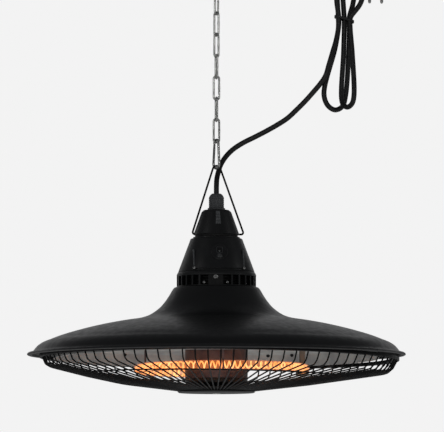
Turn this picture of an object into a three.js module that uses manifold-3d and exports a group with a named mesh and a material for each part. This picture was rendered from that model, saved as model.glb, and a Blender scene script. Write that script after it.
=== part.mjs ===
// Pendant patio heater: a wide steel shade over a ring lamp and a wire guard, hung from a chain.
// Millimetres, +Z up, origin where the top hook hangs, control panel towards -Y.
import * as THREE from "three";
import { mergeVertices } from "three/addons/utils/BufferGeometryUtils.js";
import Module from "manifold-3d";

const wasm = await Module();
wasm.setup();

// Fits
const gap = 0.3; // between pieces that touch
const overrun = 2; // how far a cut runs past the face that it opens
const sheet = 1.2; // steel and aluminium sheet

// Shade, measured up from the plane of its rim
const rimDiameter = 580;
const shadeHeight = 102.6;
const shadeSheet = 1.5;
const shoulderDiameter = 234.8; // where the dome turns up into the neck sweep
const shoulderHeight = 55.6;
const flangeHeight = 4.9;
const beadHeight = 7.2;
const beadWidth = 8.6;
const wiringHoleDiameter = 41;
const beadShares = { inset: 0.8, crest: 0.4, drop: 0.25, belly: 0.45, foot: 0.2, under: 0.5 };

// Neck: the cone's base gives the vent ring below it and the top of the shade
const ventWall = 6;
const ventPostWidth = 3.2;
const ventWindowHeight = 14.4;
const ventSill = 3.2;
const coneBaseDiameter = 117.4;
const ventLedge = 2.3; // how far the ring stands out from the cone
const ventDiameter = coneBaseDiameter + 2 * ventLedge;
const ventHeight = 23.2;
const shadeLedge = 1.8; // how far the shade's top stands out from the ring
const shadeTopDiameter = ventDiameter + 2 * shadeLedge;
const coneTopDiameter = 77.4;
const coneHeight = 53.6;
const coneEdge = 1.8;
const capBaseDiameter = 73;
const capTopDiameter = 46;
const capHeight = 41.5;
const capShoulder = 3.4;
const capShoulderShare = 0.35; // where the shoulder's bevel breaks
const neckWall = 2.5;
const panelThickness = 1.4;
const panelHeight = 31;
const panelSill = 3;
const bezelDiameter = 26;
const bezelDepth = 5;
const bezelProud = 1.2;
const controlHeight = 27.6; // from the cone's base up to the middle of the controls
const receiverWidth = 7.6;
const receiverHeight = 9;
const buttonDiameter = 7;
const buttonTravel = 1.2;
const buttonDrop = 6.4;
const receiverRise = 3.6;

// Cable gland
const glandThreadDiameter = 20;
const glandNutDiameter = 24;
const glandFlangeDiameter = 27;
const glandFlange = 3;
const glandNutHeight = 15.2;
const glandDomeHeight = 7;
const glandWall = 1.8;
const domeBreakShares = { out: 0.22, up: 0.55 };
const domeTopShare = 0.6;
const domeMouthShare = 0.4;
const locknutHeight = 5;

// Wire bail, hooks and chain
const bailWire = 3;
const bailSpread = capBaseDiameter + 2 * bailWire;
const bailRise = 118.5; // from the pin line up to where the legs would cross
const bailApexRadius = 6;
const bailCornerRadius = 3;
const bailPinDepth = 5;
const pinLine = 4.4; // above the cap's lower edge
const linkWire = 3.2;
const linkInnerLength = 33.4;
const linkWidth = 11.8;
const hookWire = 4;
const hookInnerLength = 40;
const hookTopWidth = 14;
const hookBottomWidth = 20;
const hookNoseHeight = 10;
const hookPivotDrop = 8.4;
const hookTongue = 1.2;
const hookPinDiameter = 1.1;
const hookBendShare = 0.92; // of the radius that would make a crown a half circle

// Reflector, hub and lamp
const reflectorHeight = 20; // its upper face above the rim plane
const reflectorDiameter = 500;
const reflectorDepth = 30.6;
const heatShieldHeight = 30;
const heatShieldDiameter = 380;
const centreTubeDiameter = 40;
const centreTubeFlange = 8;
const hubDiameter = 96;
const hubDrop = 40.3; // its base below the rim plane
const hubBaseThickness = 2;
const lampRadius = 128;
const lampDrop = 21.5;
const lampOffset = 8;
const lampTubeDiameter = 14;
const lampGlass = 1;
const filamentWire = 1.2;
const filamentDiameter = 8.8;
const lampBlock = 18;
const lampSocketDepth = 8;
const lampPostWidth = 8;
const lampClipWidth = 6;

// Guard
const guardWire = 2.2;
const guardRimWidth = 14;
const guardRimHeight = 4.3;
const guardTopInset = 15; // from the shade's rim in to the ends of the wires
const guardCornerInset = 25;
const guardCornerDrop = 23;
const guardMiddleDiameter = 330;
const guardMiddleDrop = 42.6;
const guardPlateDiameter = 118.8;
const guardPlateDrop = 55.6;
const guardPlateHeight = 3.9;
const guardScrewDiameter = 6;
const guardScrewHead = 14;
const guardScrewHeadHeight = 1.2;
const guardHoopShares = [0.03, 0.27]; // places of the hoops from the corner to the middle
const guardHoopLift = 0.85; // in wire diameters, from a wire's middle up to the hoop's
const guardScrewFaceShare = 0.75;

// Screws on the neck
const screwHeadDiameter = 5.6;
const screwDiameter = 3;
const screwHeadHeight = 1.6;
const screwLength = 6;
const screwFaceShare = 0.8;

// Supply cord
const cordDiameter = 8;
const plugDiameter = 34;
const plugLength = 32;
const plugPinDiameter = 4.8;
const plugPinLength = 18;
const plugPinSpacing = 19;
const cordHookWire = 5;
const cordHookCrown = 16;
const tieWidth = 3;
const tieThickness = 1.2;
const plugGripShares = { face: 0.55, waist: 0.4, width: 0.62 };
const cordHookTipShare = 0.75;

// Counts and angles
const ceilingHookYaw = 90;
const linkYaws = [-17, 49.5, -47.5, 36.5, -77.5, 6.5, -80.5, 6.5];
const snapHookYaw = -61.5;
const guardWires = 90;
const ventPitches = 30;
const ventWindows = 28; // the two other pitches are a solid block at the front, with the screw
const ventTurn = -6.4;
const louvreFins = 3;
const louvreFinShare = 0.25; // thickness of a fin, of the pitch
const louvreStartShare = 0.4;
const filamentCurls = 24;
const lampFrom = 72;
const lampTo = 368;
const lampSteps = 26;
const lampClipSteps = [7, 17];
const panelSpan = 86;
const deg = Math.PI / 180;
const round = { fine: 40, middle: 28, small: 14, wire: 6 };

// Heights in the heater's own frame, whose zero is the plane of the rim
const ventBase = shadeHeight + gap;
const ventTop = ventBase + ventHeight;
const coneBase = ventTop + gap;
const coneTop = coneBase + coneHeight;
const capBase = coneTop + gap;
const capTop = capBase + capHeight;
const pinHeight = capBase + pinLine;
const glandBase = capTop + gap;
const glandNutBase = glandBase + glandFlange + gap;
const glandTop = glandNutBase + glandNutHeight + glandDomeHeight;
const reflectorUnder = reflectorHeight - sheet;

// Heights in the part's frame, whose zero is the bearing point of the top hook
const linkReach = linkInnerLength + linkWire;
const hookReach = hookInnerLength + hookWire;
const hookSeat = (hookWire + linkWire) / 2 + gap;
const ceilingHookBase = hookWire / 2 - hookReach;
const firstLinkTop = ceilingHookBase + hookSeat;
const linkPitch = linkInnerLength - gap;
const lastLinkBase = firstLinkTop - linkPitch * (linkYaws.length - 1) - linkReach;
const snapHookBase = lastLinkBase + hookSeat - hookReach;
const bailApex = snapHookBase + (hookWire + bailWire) / 2 + gap;
const bailSlant = Math.atan2(bailSpread / 2, bailRise);
const bailReach = bailRise - bailApexRadius * (1 / Math.sin(bailSlant) - 1);
const rimLevel = bailApex - bailReach - pinHeight;

// Geometry helpers
const vec = (x, y, z) => new THREE.Vector3(x, y, z);

function solidOf(geometry) {
  const bare = geometry.index ? geometry.toNonIndexed() : geometry.clone();
  const kept = new THREE.BufferGeometry();
  kept.setAttribute("position", bare.getAttribute("position"));
  const merged = mergeVertices(kept, 1e-4);
  return new wasm.Manifold(
    new wasm.Mesh({
      numProp: 3,
      vertProperties: merged.attributes.position.array,
      triVerts: new Uint32Array(merged.index.array),
    }),
  );
}

function geometryOf(solid) {
  const mesh = solid.getMesh();
  const geometry = new THREE.BufferGeometry();
  geometry.setAttribute("position", new THREE.BufferAttribute(mesh.vertProperties, 3));
  geometry.setIndex(new THREE.BufferAttribute(mesh.triVerts, 1));
  return geometry;
}

function cut(geometry, ...tools) {
  return geometryOf(tools.reduce((left, tool) => left.subtract(solidOf(tool)), solidOf(geometry)));
}

function join(geometry, ...others) {
  return geometryOf(others.reduce((sum, other) => sum.add(solidOf(other)), solidOf(geometry)));
}

// A body turned about Z. Its outline is a list of [radius, height] that runs anticlockwise.
function turned(outline, segments) {
  const points = outline.map(([radius, height]) => new THREE.Vector2(radius, height));
  if (outline[0][0] > 0) points.push(points[0].clone());
  return new THREE.LatheGeometry(points, segments).rotateX(Math.PI / 2);
}

// A round bar along Z
function bar(diameter, low, high, sides) {
  const geometry = new THREE.CylinderGeometry(diameter / 2, diameter / 2, high - low, sides);
  return geometry.rotateX(Math.PI / 2).translate(0, 0, (low + high) / 2);
}

// A box given by its middle in X and Y and its lower and upper face
function block(width, depth, x, y, low, high) {
  const geometry = new THREE.BoxGeometry(width, depth, high - low);
  return geometry.translate(x, y, (low + high) / 2);
}

// A straight-sided path whose corners are rounded
function rounded(corners, radii, steps) {
  const path = [corners[0]];
  radii.forEach((radius, i) => {
    const corner = corners[i + 1];
    const back = corners[i].clone().sub(corner).normalize();
    const onward = corners[i + 2].clone().sub(corner).normalize();
    const half = back.angleTo(onward) / 2;
    const middle = back.clone().add(onward).normalize();
    middle.multiplyScalar(radius / Math.sin(half)).add(corner);
    const reach = radius / Math.tan(half);
    const from = back.multiplyScalar(reach).add(corner).sub(middle);
    const to = onward.multiplyScalar(reach).add(corner).sub(middle);
    const axis = from.clone().cross(to).normalize();
    const turn = from.angleTo(to);
    for (let k = 0; k <= steps; k++)
      path.push(from.clone().applyAxisAngle(axis, (turn * k) / steps).add(middle));
  });
  path.push(corners[corners.length - 1]);
  return path;
}

function polygon(radius, sides) {
  return Array.from({ length: sides }, (_, i) => {
    const angle = (2 * Math.PI * (i + 0.5)) / sides;
    return [radius * Math.cos(angle), radius * Math.sin(angle)];
  });
}

// Sweeps a section along a path. The section's first axis starts along `side`.
function swept(path, section, side, closed = false) {
  const count = path.length;
  const sides = section.length;
  const at = (i) => path[closed ? (i + count) % count : Math.min(Math.max(i, 0), count - 1)];
  const tangent = (i) => at(i + 1).clone().sub(at(i - 1)).normalize();
  const vertices = [];
  const faces = [];
  let along = tangent(0);
  let first = side.clone().addScaledVector(along, -side.dot(along)).normalize();
  for (let i = 0; i < count; i++) {
    const next = tangent(i);
    const turn = new THREE.Quaternion().setFromUnitVectors(along, next);
    first = first.applyQuaternion(turn).normalize();
    along = next;
    const second = along.clone().cross(first);
    for (const [a, b] of section)
      vertices.push(...path[i].clone().addScaledVector(first, a).addScaledVector(second, b));
  }
  const rings = closed ? count : count - 1;
  for (let i = 0; i < rings; i++)
    for (let j = 0; j < sides; j++) {
      const here = i * sides;
      const there = ((i + 1) % count) * sides;
      const k = (j + 1) % sides;
      faces.push(here + j, here + k, there + k, here + j, there + k, there + j);
    }
  if (!closed)
    for (let j = 1; j < sides - 1; j++) {
      const end = (count - 1) * sides;
      faces.push(0, j + 1, j, end, end + j, end + j + 1);
    }
  return shell(vertices, faces);
}

function shell(vertices, faces) {
  const geometry = new THREE.BufferGeometry();
  geometry.setAttribute("position", new THREE.Float32BufferAttribute(vertices, 3));
  geometry.setIndex(faces);
  return geometry;
}

// An outline of [radius, height] swept about Z, from one angle to another off the front
function sector(outline, from, to, steps) {
  const sides = outline.length;
  const vertices = [];
  const faces = [];
  for (let i = 0; i <= steps; i++) {
    const angle = from + ((to - from) * i) / steps;
    for (const [radius, height] of outline)
      vertices.push(radius * Math.sin(angle), -radius * Math.cos(angle), height);
  }
  for (let i = 0; i < steps; i++)
    for (let j = 0; j < sides; j++) {
      const k = (j + 1) % sides;
      const here = i * sides;
      const there = here + sides;
      faces.push(here + j, there + j, there + k, here + j, there + k, here + k);
    }
  const end = steps * sides;
  for (let j = 1; j < sides - 1; j++) faces.push(0, j, j + 1, end, end + j + 1, end + j);
  return shell(vertices, faces);
}

// Least distance between two surfaces of one tube, past the stretch that is near along it
function leastGap(path, diameter, nearLength) {
  const lengths = [0];
  for (let i = 1; i < path.length; i++)
    lengths.push(lengths[i - 1] + path[i].distanceTo(path[i - 1]));
  let least = Infinity;
  path.forEach((a, i) =>
    path.forEach((b, j) => {
      if (lengths[j] - lengths[i] > nearLength) least = Math.min(least, a.distanceTo(b));
    }),
  );
  return least - diameter;
}

function lengthOf(path) {
  return path.reduce((sum, p, i) => sum + (i ? p.distanceTo(path[i - 1]) : 0), 0);
}

// Materials
const finish = (color, roughness, metalness) =>
  new THREE.MeshStandardMaterial({ color, roughness, metalness });
const blackPaint = finish(0x17181a, 0.55, 0.3);
const blackPlastic = finish(0x1b1c1e, 0.5, 0);
const greyPlastic = finish(0x2e3032, 0.55, 0);
const zinc = finish(0x8b8c8a, 0.4, 0.9);
const steel = finish(0xb9bab8, 0.3, 1);
const brightSheet = finish(0x8f8f8d, 0.45, 0.8);
const hubSheet = finish(0x3f2f2d, 0.6, 0.6);
const quartz = finish(0xe8a066, 0.1, 0);
const hotWire = finish(0xff8a3c, 0.6, 0.2);
const ceramic = finish(0xd9d4c8, 0.7, 0);
const cordRubber = finish(0x1c1d1f, 0.6, 0);
const smokedLens = finish(0x241416, 0.15, 0);
const boardGreen = finish(0x2c5a3a, 0.6, 0);

function add(group, name, geometry, material) {
  const mesh = new THREE.Mesh(geometry, material);
  mesh.name = name;
  group.add(mesh);
  return mesh;
}

// Snap hook: a bent wire frame with a sprung gate on a pin. Zero is the lower crown's wire centre.
const hookPivot = vec(-hookTopWidth / 2 + hookWire / 2 - sheet / 2, 0, hookReach - hookPivotDrop);
const hookNose = vec(-hookBottomWidth / 2 + hookWire / 2, 0, hookNoseHeight);
const gateTilt = Math.atan2(hookPivot.x - hookNose.x, hookPivot.z - hookNose.z);
const gateLength = hookPivot.distanceTo(hookNose);
const gateDiameter = hookWire - gap;

function hookFrame() {
  const low = hookBottomWidth / 2 - hookWire / 2;
  const high = hookTopWidth / 2 - hookWire / 2;
  const end = hookPivot.clone().add(vec(0, 0, gateDiameter / 2 + 4 * gap));
  const corners = [
    hookNose,
    vec(-low, 0, 0),
    vec(low, 0, 0),
    vec(high, 0, hookReach),
    vec(-high, 0, hookReach),
    end,
  ];
  const radii = [low, low, high, high].map((radius) => radius * hookBendShare);
  const wire = swept(rounded(corners, radii, 4), polygon(hookWire / 2, round.wire), vec(0, 1, 0));
  const drop = gateDiameter / 2 + gap;
  const rise = end.z - hookPivot.z + gateDiameter / 2;
  const tongue = block(gateDiameter - 2 * gap, hookTongue, hookPivot.x, 0, -drop, rise);
  tongue.translate(0, 0, hookPivot.z);
  const hole = bar(hookPinDiameter + 2 * gap, -hookWire, hookWire, 8).rotateX(Math.PI / 2);
  return cut(join(wire, tongue), hole.translate(hookPivot.x, 0, hookPivot.z));
}

function hookGate() {
  const rod = bar(gateDiameter, gap - gateLength, gateDiameter / 2, 8);
  const slotDepth = gateDiameter / 2 + 3 * gap;
  const slot = block(hookWire, hookTongue + 2 * gap, 0, 0, -slotDepth, slotDepth + overrun);
  const hole = bar(hookPinDiameter + 2 * gap, -hookWire, hookWire, 8).rotateX(Math.PI / 2);
  return cut(rod, slot, hole).rotateY(gateTilt).translate(hookPivot.x, 0, hookPivot.z);
}

function hookPin() {
  const pin = bar(hookPinDiameter, -gateDiameter / 2, gateDiameter / 2, 8);
  return pin.rotateX(Math.PI / 2).translate(hookPivot.x, 0, hookPivot.z);
}

function addHook(group, prefix, base, yaw) {
  const hook = new THREE.Group();
  hook.position.z = base;
  hook.rotation.z = yaw * deg;
  add(hook, prefix + "_frame", hookFrame(), zinc);
  add(hook, prefix + "_gate", hookGate(), steel);
  add(hook, prefix + "_pin", hookPin(), steel);
  group.add(hook);
}

// Chain: long welded links, each turned against the next
function chainLink() {
  const crown = (linkWidth - linkWire) / 2;
  const path = [];
  const crownSteps = 6;
  for (const [side, height] of [[1, linkReach - crown], [-1, crown]])
    for (let k = 0; k <= crownSteps; k++) {
      const angle = (Math.PI * k) / crownSteps;
      const across = side * crown * Math.cos(angle);
      path.push(vec(across, 0, height + side * crown * Math.sin(angle)));
    }
  return swept(path, polygon(linkWire / 2, round.wire), vec(0, 1, 0), true);
}

function addChain(group) {
  linkYaws.forEach((yaw, i) => {
    const link = add(group, `chain_link_${i + 1}`, chainLink(), zinc);
    link.position.z = firstLinkTop - linkPitch * i - linkReach;
    link.rotation.z = yaw * deg;
  });
}

// Wire bail, drawn in the heater's frame: its ends turn in through the cap's skirt
function bail() {
  const outer = bailSpread / 2;
  const tip = capRadiusAt(pinHeight) - bailPinDepth;
  const corners = [
    vec(-tip, 0, pinHeight),
    vec(-outer, 0, pinHeight),
    vec(0, 0, pinHeight + bailRise),
    vec(outer, 0, pinHeight),
    vec(tip, 0, pinHeight),
  ];
  const radii = [bailCornerRadius, bailApexRadius, bailCornerRadius];
  return swept(rounded(corners, radii, 6), polygon(bailWire / 2, round.wire), vec(0, 1, 0));
}

// Neck: cap, cone and vent ring
function capRadiusAt(height) {
  const share = (height - capBase) / (capHeight - capShoulder);
  return THREE.MathUtils.lerp(capBaseDiameter / 2, capTopDiameter / 2, share);
}

function coneRadiusAt(height) {
  const share = (height - coneBase) / coneHeight;
  return THREE.MathUtils.lerp(coneBaseDiameter / 2, coneTopDiameter / 2, share);
}

function cap() {
  const hole = glandThreadDiameter / 2 + gap;
  const shoulder = capTop - capShoulder;
  const bevel = capShoulder * capShoulderShare;
  const outline = [
    [capRadiusAt(capBase) - neckWall, capBase],
    [capRadiusAt(capBase), capBase],
    [capRadiusAt(shoulder), shoulder],
    [capRadiusAt(shoulder) - bevel, capTop - bevel],
    [capRadiusAt(shoulder) - capShoulder, capTop],
    [hole, capTop],
    [hole, capTop - neckWall],
    [capRadiusAt(shoulder) - capShoulder - neckWall / 2, capTop - neckWall],
  ];
  const pinHole = bar(bailWire + 2 * gap, -capBaseDiameter, capBaseDiameter, 8);
  pinHole.rotateY(Math.PI / 2).translate(0, 0, pinHeight);
  return cut(turned(outline, round.middle), pinHole);
}

function cone() {
  const hole = glandThreadDiameter / 2 + neckWall;
  const outline = [
    [coneRadiusAt(coneBase) - neckWall, coneBase],
    [coneRadiusAt(coneBase), coneBase],
    [coneRadiusAt(coneTop - coneEdge), coneTop - coneEdge],
    [coneRadiusAt(coneTop) - coneEdge, coneTop],
    [hole, coneTop],
    [hole, coneTop - neckWall],
    [coneRadiusAt(coneTop) - neckWall, coneTop - neckWall],
  ];
  const hub = bar(bezelDiameter + 2 * gap, -bezelDepth - coneEdge, overrun + panelThickness, 16);
  return cut(turned(outline, round.middle), hub.applyMatrix4(controlPlace), ...panelScrewHoles());
}

// The controls lie on the cone's slope, in a frame whose Z points out of it
const coneSlope = Math.atan2((coneBaseDiameter - coneTopDiameter) / 2, coneHeight);
const controlTilt = Math.PI / 2 - coneSlope;
const controlAt = vec(0, -coneRadiusAt(coneBase + controlHeight), coneBase + controlHeight);
const controlPlace = new THREE.Matrix4().makeRotationX(controlTilt).setPosition(controlAt);

function panelOutline(inset, thickness, low, high) {
  return [
    [coneRadiusAt(low) + inset, low],
    [coneRadiusAt(low) + inset + thickness, low],
    [coneRadiusAt(high) + inset + thickness, high],
    [coneRadiusAt(high) + inset, high],
  ];
}

const panelLow = coneBase + panelSill;
const panelScrewHeight = panelLow + screwHeadDiameter / 2 + 2 * gap;
const panelScrewAngle = (panelSpan / 2) * deg - (screwHeadDiameter / 2 + 2 * gap) / coneRadiusAt(panelLow);

// A piece drawn along +Z at the origin is put on the cone, at an angle off the front
function onSlope(geometry, angle, height, lift) {
  geometry.rotateX(controlTilt).translate(0, -coneRadiusAt(height), height);
  geometry.translate(0, -lift * Math.cos(coneSlope), lift * Math.sin(coneSlope));
  return geometry.rotateZ(angle);
}

function panelScrewHoles() {
  return [-panelScrewAngle, panelScrewAngle].map((angle) => {
    const hole = bar(screwDiameter + 2 * gap, -screwLength, screwLength, 8);
    return onSlope(hole, angle, panelScrewHeight, 0);
  });
}

function frontPanel() {
  const outline = panelOutline(1.5 * gap, panelThickness, panelLow, panelLow + panelHeight);
  const half = (panelSpan / 2) * deg;
  const hole = bar(bezelDiameter + 2 * gap, -bezelDepth, bezelDepth, 16);
  return cut(sector(outline, -half, half, 10), hole.applyMatrix4(controlPlace), ...panelScrewHoles());
}

function screw(length) {
  const head = screwHeadDiameter / 2;
  const shank = screwDiameter / 2;
  return turned(
    [
      [0, -length],
      [shank, -length],
      [shank, 0],
      [head, 0],
      [head * screwFaceShare, screwHeadHeight],
      [0, screwHeadHeight],
    ],
    10,
  );
}

function bezel() {
  const disc = bar(bezelDiameter, -bezelDepth, bezelProud + panelThickness, 16);
  const pocket = bar(buttonDiameter + 2 * gap, -bezelDepth - overrun, bezelDepth, 12);
  pocket.translate(0, -buttonDrop, 0);
  const window = block(
    receiverWidth + 2 * gap,
    receiverHeight + 2 * gap,
    0,
    receiverRise,
    -bezelDepth - overrun,
    bezelDepth,
  );
  return cut(disc, pocket, window);
}

function receiver() {
  return block(receiverWidth, receiverHeight, 0, receiverRise, -bezelDepth, panelThickness);
}

function button() {
  const face = bezelProud + panelThickness + buttonTravel + gap;
  const back = -bezelDepth - buttonTravel;
  return bar(buttonDiameter, back, face, 12).translate(0, -buttonDrop, 0);
}

function ventRing() {
  const outer = ventDiameter / 2;
  const inner = outer - ventWall;
  const top = coneBaseDiameter / 2;
  const ledge = ventTop - neckWall;
  const outline = [
    [inner, ventBase],
    [outer, ventBase],
    [outer, ventBase + ventSill + ventWindowHeight],
    [top, ventTop],
    [inner, ventTop],
    [inner, ledge],
    [inner - ventWall / 2, ledge],
    [inner - ventWall / 2, ledge - neckWall / 2],
    [inner, ledge - neckWall],
  ];
  const pitch = (2 * Math.PI) / ventPitches;
  const width = pitch * inner - ventPostWidth;
  const windows = [];
  for (let i = 1; i <= ventWindows; i++) {
    const low = ventBase + ventSill;
    const opening = block(width, ventWall * 2, 0, -inner - ventWall / 2, low, low + ventWindowHeight);
    windows.push(opening.rotateZ((i + 0.5) * pitch));
  }
  const hole = bar(screwDiameter + 2 * gap, -ventDiameter / 2 - overrun, -inner + overrun, 8);
  hole.rotateX(-Math.PI / 2).translate(0, 0, ventScrewHeight);
  return cut(turned(outline, ventPitches), ...windows, hole).rotateZ(ventTurn * deg);
}

const ventScrewHeight = ventBase + ventSill + ventWindowHeight / 2 + screwHeadDiameter / 2;

function louvres() {
  const outer = ventDiameter / 2 - ventWall - 2 * gap;
  const core = outer - ventWall;
  const pitch = ventWindowHeight / louvreFins;
  const fin = pitch * louvreFinShare;
  const outline = [
    [core - neckWall, ventBase],
    [core, ventBase],
  ];
  for (let i = 0; i < louvreFins; i++) {
    const low = ventBase + ventSill + pitch * (i + louvreStartShare);
    outline.push([core, low], [outer, low], [outer, low + fin], [core, low + fin]);
  }
  outline.push([core, ledgeUnder - gap], [core - neckWall, ledgeUnder - gap]);
  return turned(outline, 20);
}

const ledgeUnder = ventTop - 2 * neckWall;

// Cable gland: body with flange, domed nut, rubber seal and locknut
const glandBore = cordDiameter / 2 + gap;
const glandInner = glandNutDiameter / 2 - glandWall;

function glandBody() {
  const thread = glandThreadDiameter / 2;
  const low = capTop - neckWall - locknutHeight - 2 * gap;
  const outline = [
    [glandBore + gap, low],
    [thread, low],
    [thread, glandBase],
    [glandFlangeDiameter / 2, glandBase],
    [glandFlangeDiameter / 2, glandBase + glandFlange],
    [glandInner - gap, glandBase + glandFlange],
    [glandInner - gap, glandNutBase + glandNutHeight / 2],
    [glandBore + gap, glandNutBase + glandNutHeight / 2],
  ];
  return turned(outline, round.small);
}

function glandNut() {
  const outer = glandNutDiameter / 2;
  const shoulder = glandNutBase + glandNutHeight;
  const mouth = glandBore + gap;
  const outline = [
    [glandInner, glandNutBase],
    [outer, glandNutBase],
    [outer, shoulder],
    [
      THREE.MathUtils.lerp(outer, mouth, domeBreakShares.out),
      shoulder + glandDomeHeight * domeBreakShares.up,
    ],
    [THREE.MathUtils.lerp(outer, mouth, domeTopShare), glandTop - gap],
    [mouth, glandTop - gap],
    [mouth, shoulder + glandDomeHeight * domeMouthShare],
    [glandInner, shoulder],
  ];
  return turned(outline, round.small);
}

function glandSeal() {
  const low = glandNutBase + glandNutHeight / 2 + gap;
  const high = glandNutBase + glandNutHeight;
  return turned(
    [
      [glandBore, low],
      [glandInner - gap, low],
      [glandInner - gap, high],
      [glandBore, high],
    ],
    round.small,
  );
}

function locknut() {
  const high = capTop - neckWall - gap;
  const outline = [
    [glandThreadDiameter / 2 + gap, high - locknutHeight],
    [glandFlangeDiameter / 2, high - locknutHeight],
    [glandFlangeDiameter / 2, high],
    [glandThreadDiameter / 2 + gap, high],
  ];
  return turned(outline, round.small);
}

// Inside the neck
const plateLow = ventTop - neckWall + gap;
const plateHigh = plateLow + sheet;
const boardWidth = 50;
const boardHeight = 40;
const boardThickness = 1.6;
const switchSize = 4;
const switchGapShare = 0.2;
const terminalWidth = 30;
const terminalDepth = 16;
const terminalHeight = 18;
const cutoutDiameter = 16;
const cutoutHeight = 10;
const boardFace = -coneRadiusAt(coneBase + boardHeight) + neckWall + boardWidth / 4;

function mountingPlate() {
  const outer = ventDiameter / 2 - ventWall - gap;
  const hole = wiringHoleDiameter / 2;
  const outline = [
    [hole, plateLow],
    [outer, plateLow],
    [outer, plateHigh],
    [hole, plateHigh],
  ];
  return turned(outline, ventPitches).rotateZ(ventTurn * deg);
}

function controlBoard() {
  const low = plateHigh + gap;
  const board = block(boardWidth, boardThickness, 0, boardFace, low, low + boardHeight);
  const behind = bezelDepth + buttonTravel * 2 + buttonDiameter * switchGapShare + gap;
  const stem = vec(0, -buttonDrop, -behind).applyMatrix4(controlPlace);
  const reach = boardFace - stem.y;
  const key = block(
    switchSize,
    reach,
    0,
    boardFace - reach / 2,
    stem.z - switchSize / 2,
    stem.z + switchSize / 2,
  );
  return join(board, key);
}

function terminalBlock() {
  const low = plateHigh + gap;
  return block(
    terminalWidth,
    terminalDepth,
    0,
    wiringHoleDiameter / 2 + terminalDepth / 2 + gap,
    low,
    low + terminalHeight,
  );
}

function thermalCutout() {
  const low = plateHigh + gap;
  const away = wiringHoleDiameter / 2 + cutoutDiameter / 2 + 2 * gap;
  return bar(cutoutDiameter, low, low + cutoutHeight, 12).translate(away, 0, 0);
}

function innerCable() {
  const end = plateHigh + gap + terminalHeight + gap;
  const across = wiringHoleDiameter / 2 + terminalDepth / 2;
  const route = [
    vec(0, 0, glandTop - gap),
    vec(0, 0, capTop - capShoulder),
    vec(0, 0, coneTop),
    vec(0, across / 2, (coneTop + end) / 2),
    vec(0, across, end + cordDiameter),
    vec(0, across, end),
  ];
  return tube(route, cordDiameter, 12, 8);
}

function tube(route, diameter, steps, sides) {
  const section = new THREE.Shape(
    polygon(diameter / 2, sides).map(([a, b]) => new THREE.Vector2(a, b)),
  );
  return new THREE.ExtrudeGeometry(section, {
    steps,
    extrudePath: new THREE.CatmullRomCurve3(route),
    bevelEnabled: false,
  });
}

// Shade: the outside runs from the top edge down the sweep, over the dome and out to the bead
const sweepShares = [[0.02, 0.985], [0.17, 0.754], [0.44, 0.33], [0.72, 0.096]];
const domeShares = [
  [0, 1], [0.2, 0.93], [0.47, 0.71], [0.74, 0.459], [0.88, 0.27], [0.963, 0.1],
];

function shadeOutside() {
  const top = shadeTopDiameter / 2;
  const shoulder = shoulderDiameter / 2;
  const rim = rimDiameter / 2 - beadWidth * beadShares.inset;
  const rise = shadeHeight - shoulderHeight;
  const fall = shoulderHeight - flangeHeight;
  const sweep = sweepShares.map(([out, up]) => [
    THREE.MathUtils.lerp(top, shoulder, out),
    shoulderHeight + rise * up,
  ]);
  const dome = domeShares.map(([out, up]) => [
    THREE.MathUtils.lerp(shoulder, rim, out),
    flangeHeight + fall * up,
  ]);
  return [[top, shadeHeight], ...sweep, ...dome];
}

// The same curve moved in by a thickness along its own normal
function offsetBy(curve, thickness) {
  return curve.map(([radius, height], i) => {
    const before = curve[Math.max(i - 1, 0)];
    const after = curve[Math.min(i + 1, curve.length - 1)];
    const run = new THREE.Vector2(after[0] - before[0], after[1] - before[1]).normalize();
    return [radius + run.y * thickness, height - run.x * thickness];
  });
}

function shade() {
  const outside = shadeOutside();
  const rim = rimDiameter / 2;
  const under = flangeHeight - beadHeight - flangeHeight * beadShares.under;
  const beadInner = rim - beadWidth;
  const bead = [
    [rim - beadWidth * beadShares.crest, flangeHeight - flangeHeight * beadShares.drop],
    [rim, flangeHeight - beadHeight * beadShares.belly],
    [rim - beadWidth * beadShares.foot, under],
    [beadInner, under],
    [beadInner, flangeHeight - shadeSheet],
  ];
  const hole = wiringHoleDiameter / 2;
  const inside = offsetBy(outside, shadeSheet).reverse();
  const corner = [inside[inside.length - 1][0], shadeHeight - shadeSheet];
  inside[inside.length - 1] = corner;
  const loop = [
    ...outside,
    ...bead,
    ...inside,
    [hole, shadeHeight - shadeSheet],
    [hole, shadeHeight],
  ];
  return turned(loop.reverse(), round.fine);
}

function centreTube() {
  const outer = centreTubeDiameter / 2;
  const flange = outer + centreTubeFlange;
  const high = shadeHeight - shadeSheet - gap;
  const low = reflectorHeight + gap;
  const collar = heatShieldHeight - gap;
  const outline = [
    [outer - 2 * sheet, low],
    [flange, low],
    [flange, low + sheet],
    [outer, low + sheet],
    [outer, collar - sheet],
    [flange, collar - sheet],
    [flange, collar],
    [outer, collar],
    [outer, high - sheet],
    [flange, high - sheet],
    [flange, high],
    [outer - 2 * sheet, high],
  ];
  return turned(outline, round.small);
}

function heatShield() {
  const outline = [
    [centreTubeDiameter / 2 + gap, heatShieldHeight],
    [heatShieldDiameter / 2, heatShieldHeight],
    [heatShieldDiameter / 2, heatShieldHeight + sheet],
    [centreTubeDiameter / 2 + gap, heatShieldHeight + sheet],
  ];
  return turned(outline, round.middle);
}

// Reflector: a flat roof that turns down into a skirt
const reflectorShares = [[0.85, 1], [0.94, 0.955], [0.982, 0.8], [1, 0]];

function reflector() {
  const outside = reflectorShares.map(([out, up]) => [
    (reflectorDiameter / 2) * out,
    reflectorHeight - reflectorDepth * (1 - up),
  ]);
  const hole = centreTubeDiameter / 2 - 2 * sheet;
  const inside = offsetBy(outside, sheet).reverse();
  const loop = [[hole, reflectorHeight], ...outside, ...inside, [hole, reflectorUnder]];
  return turned(loop.reverse(), 32);
}

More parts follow.
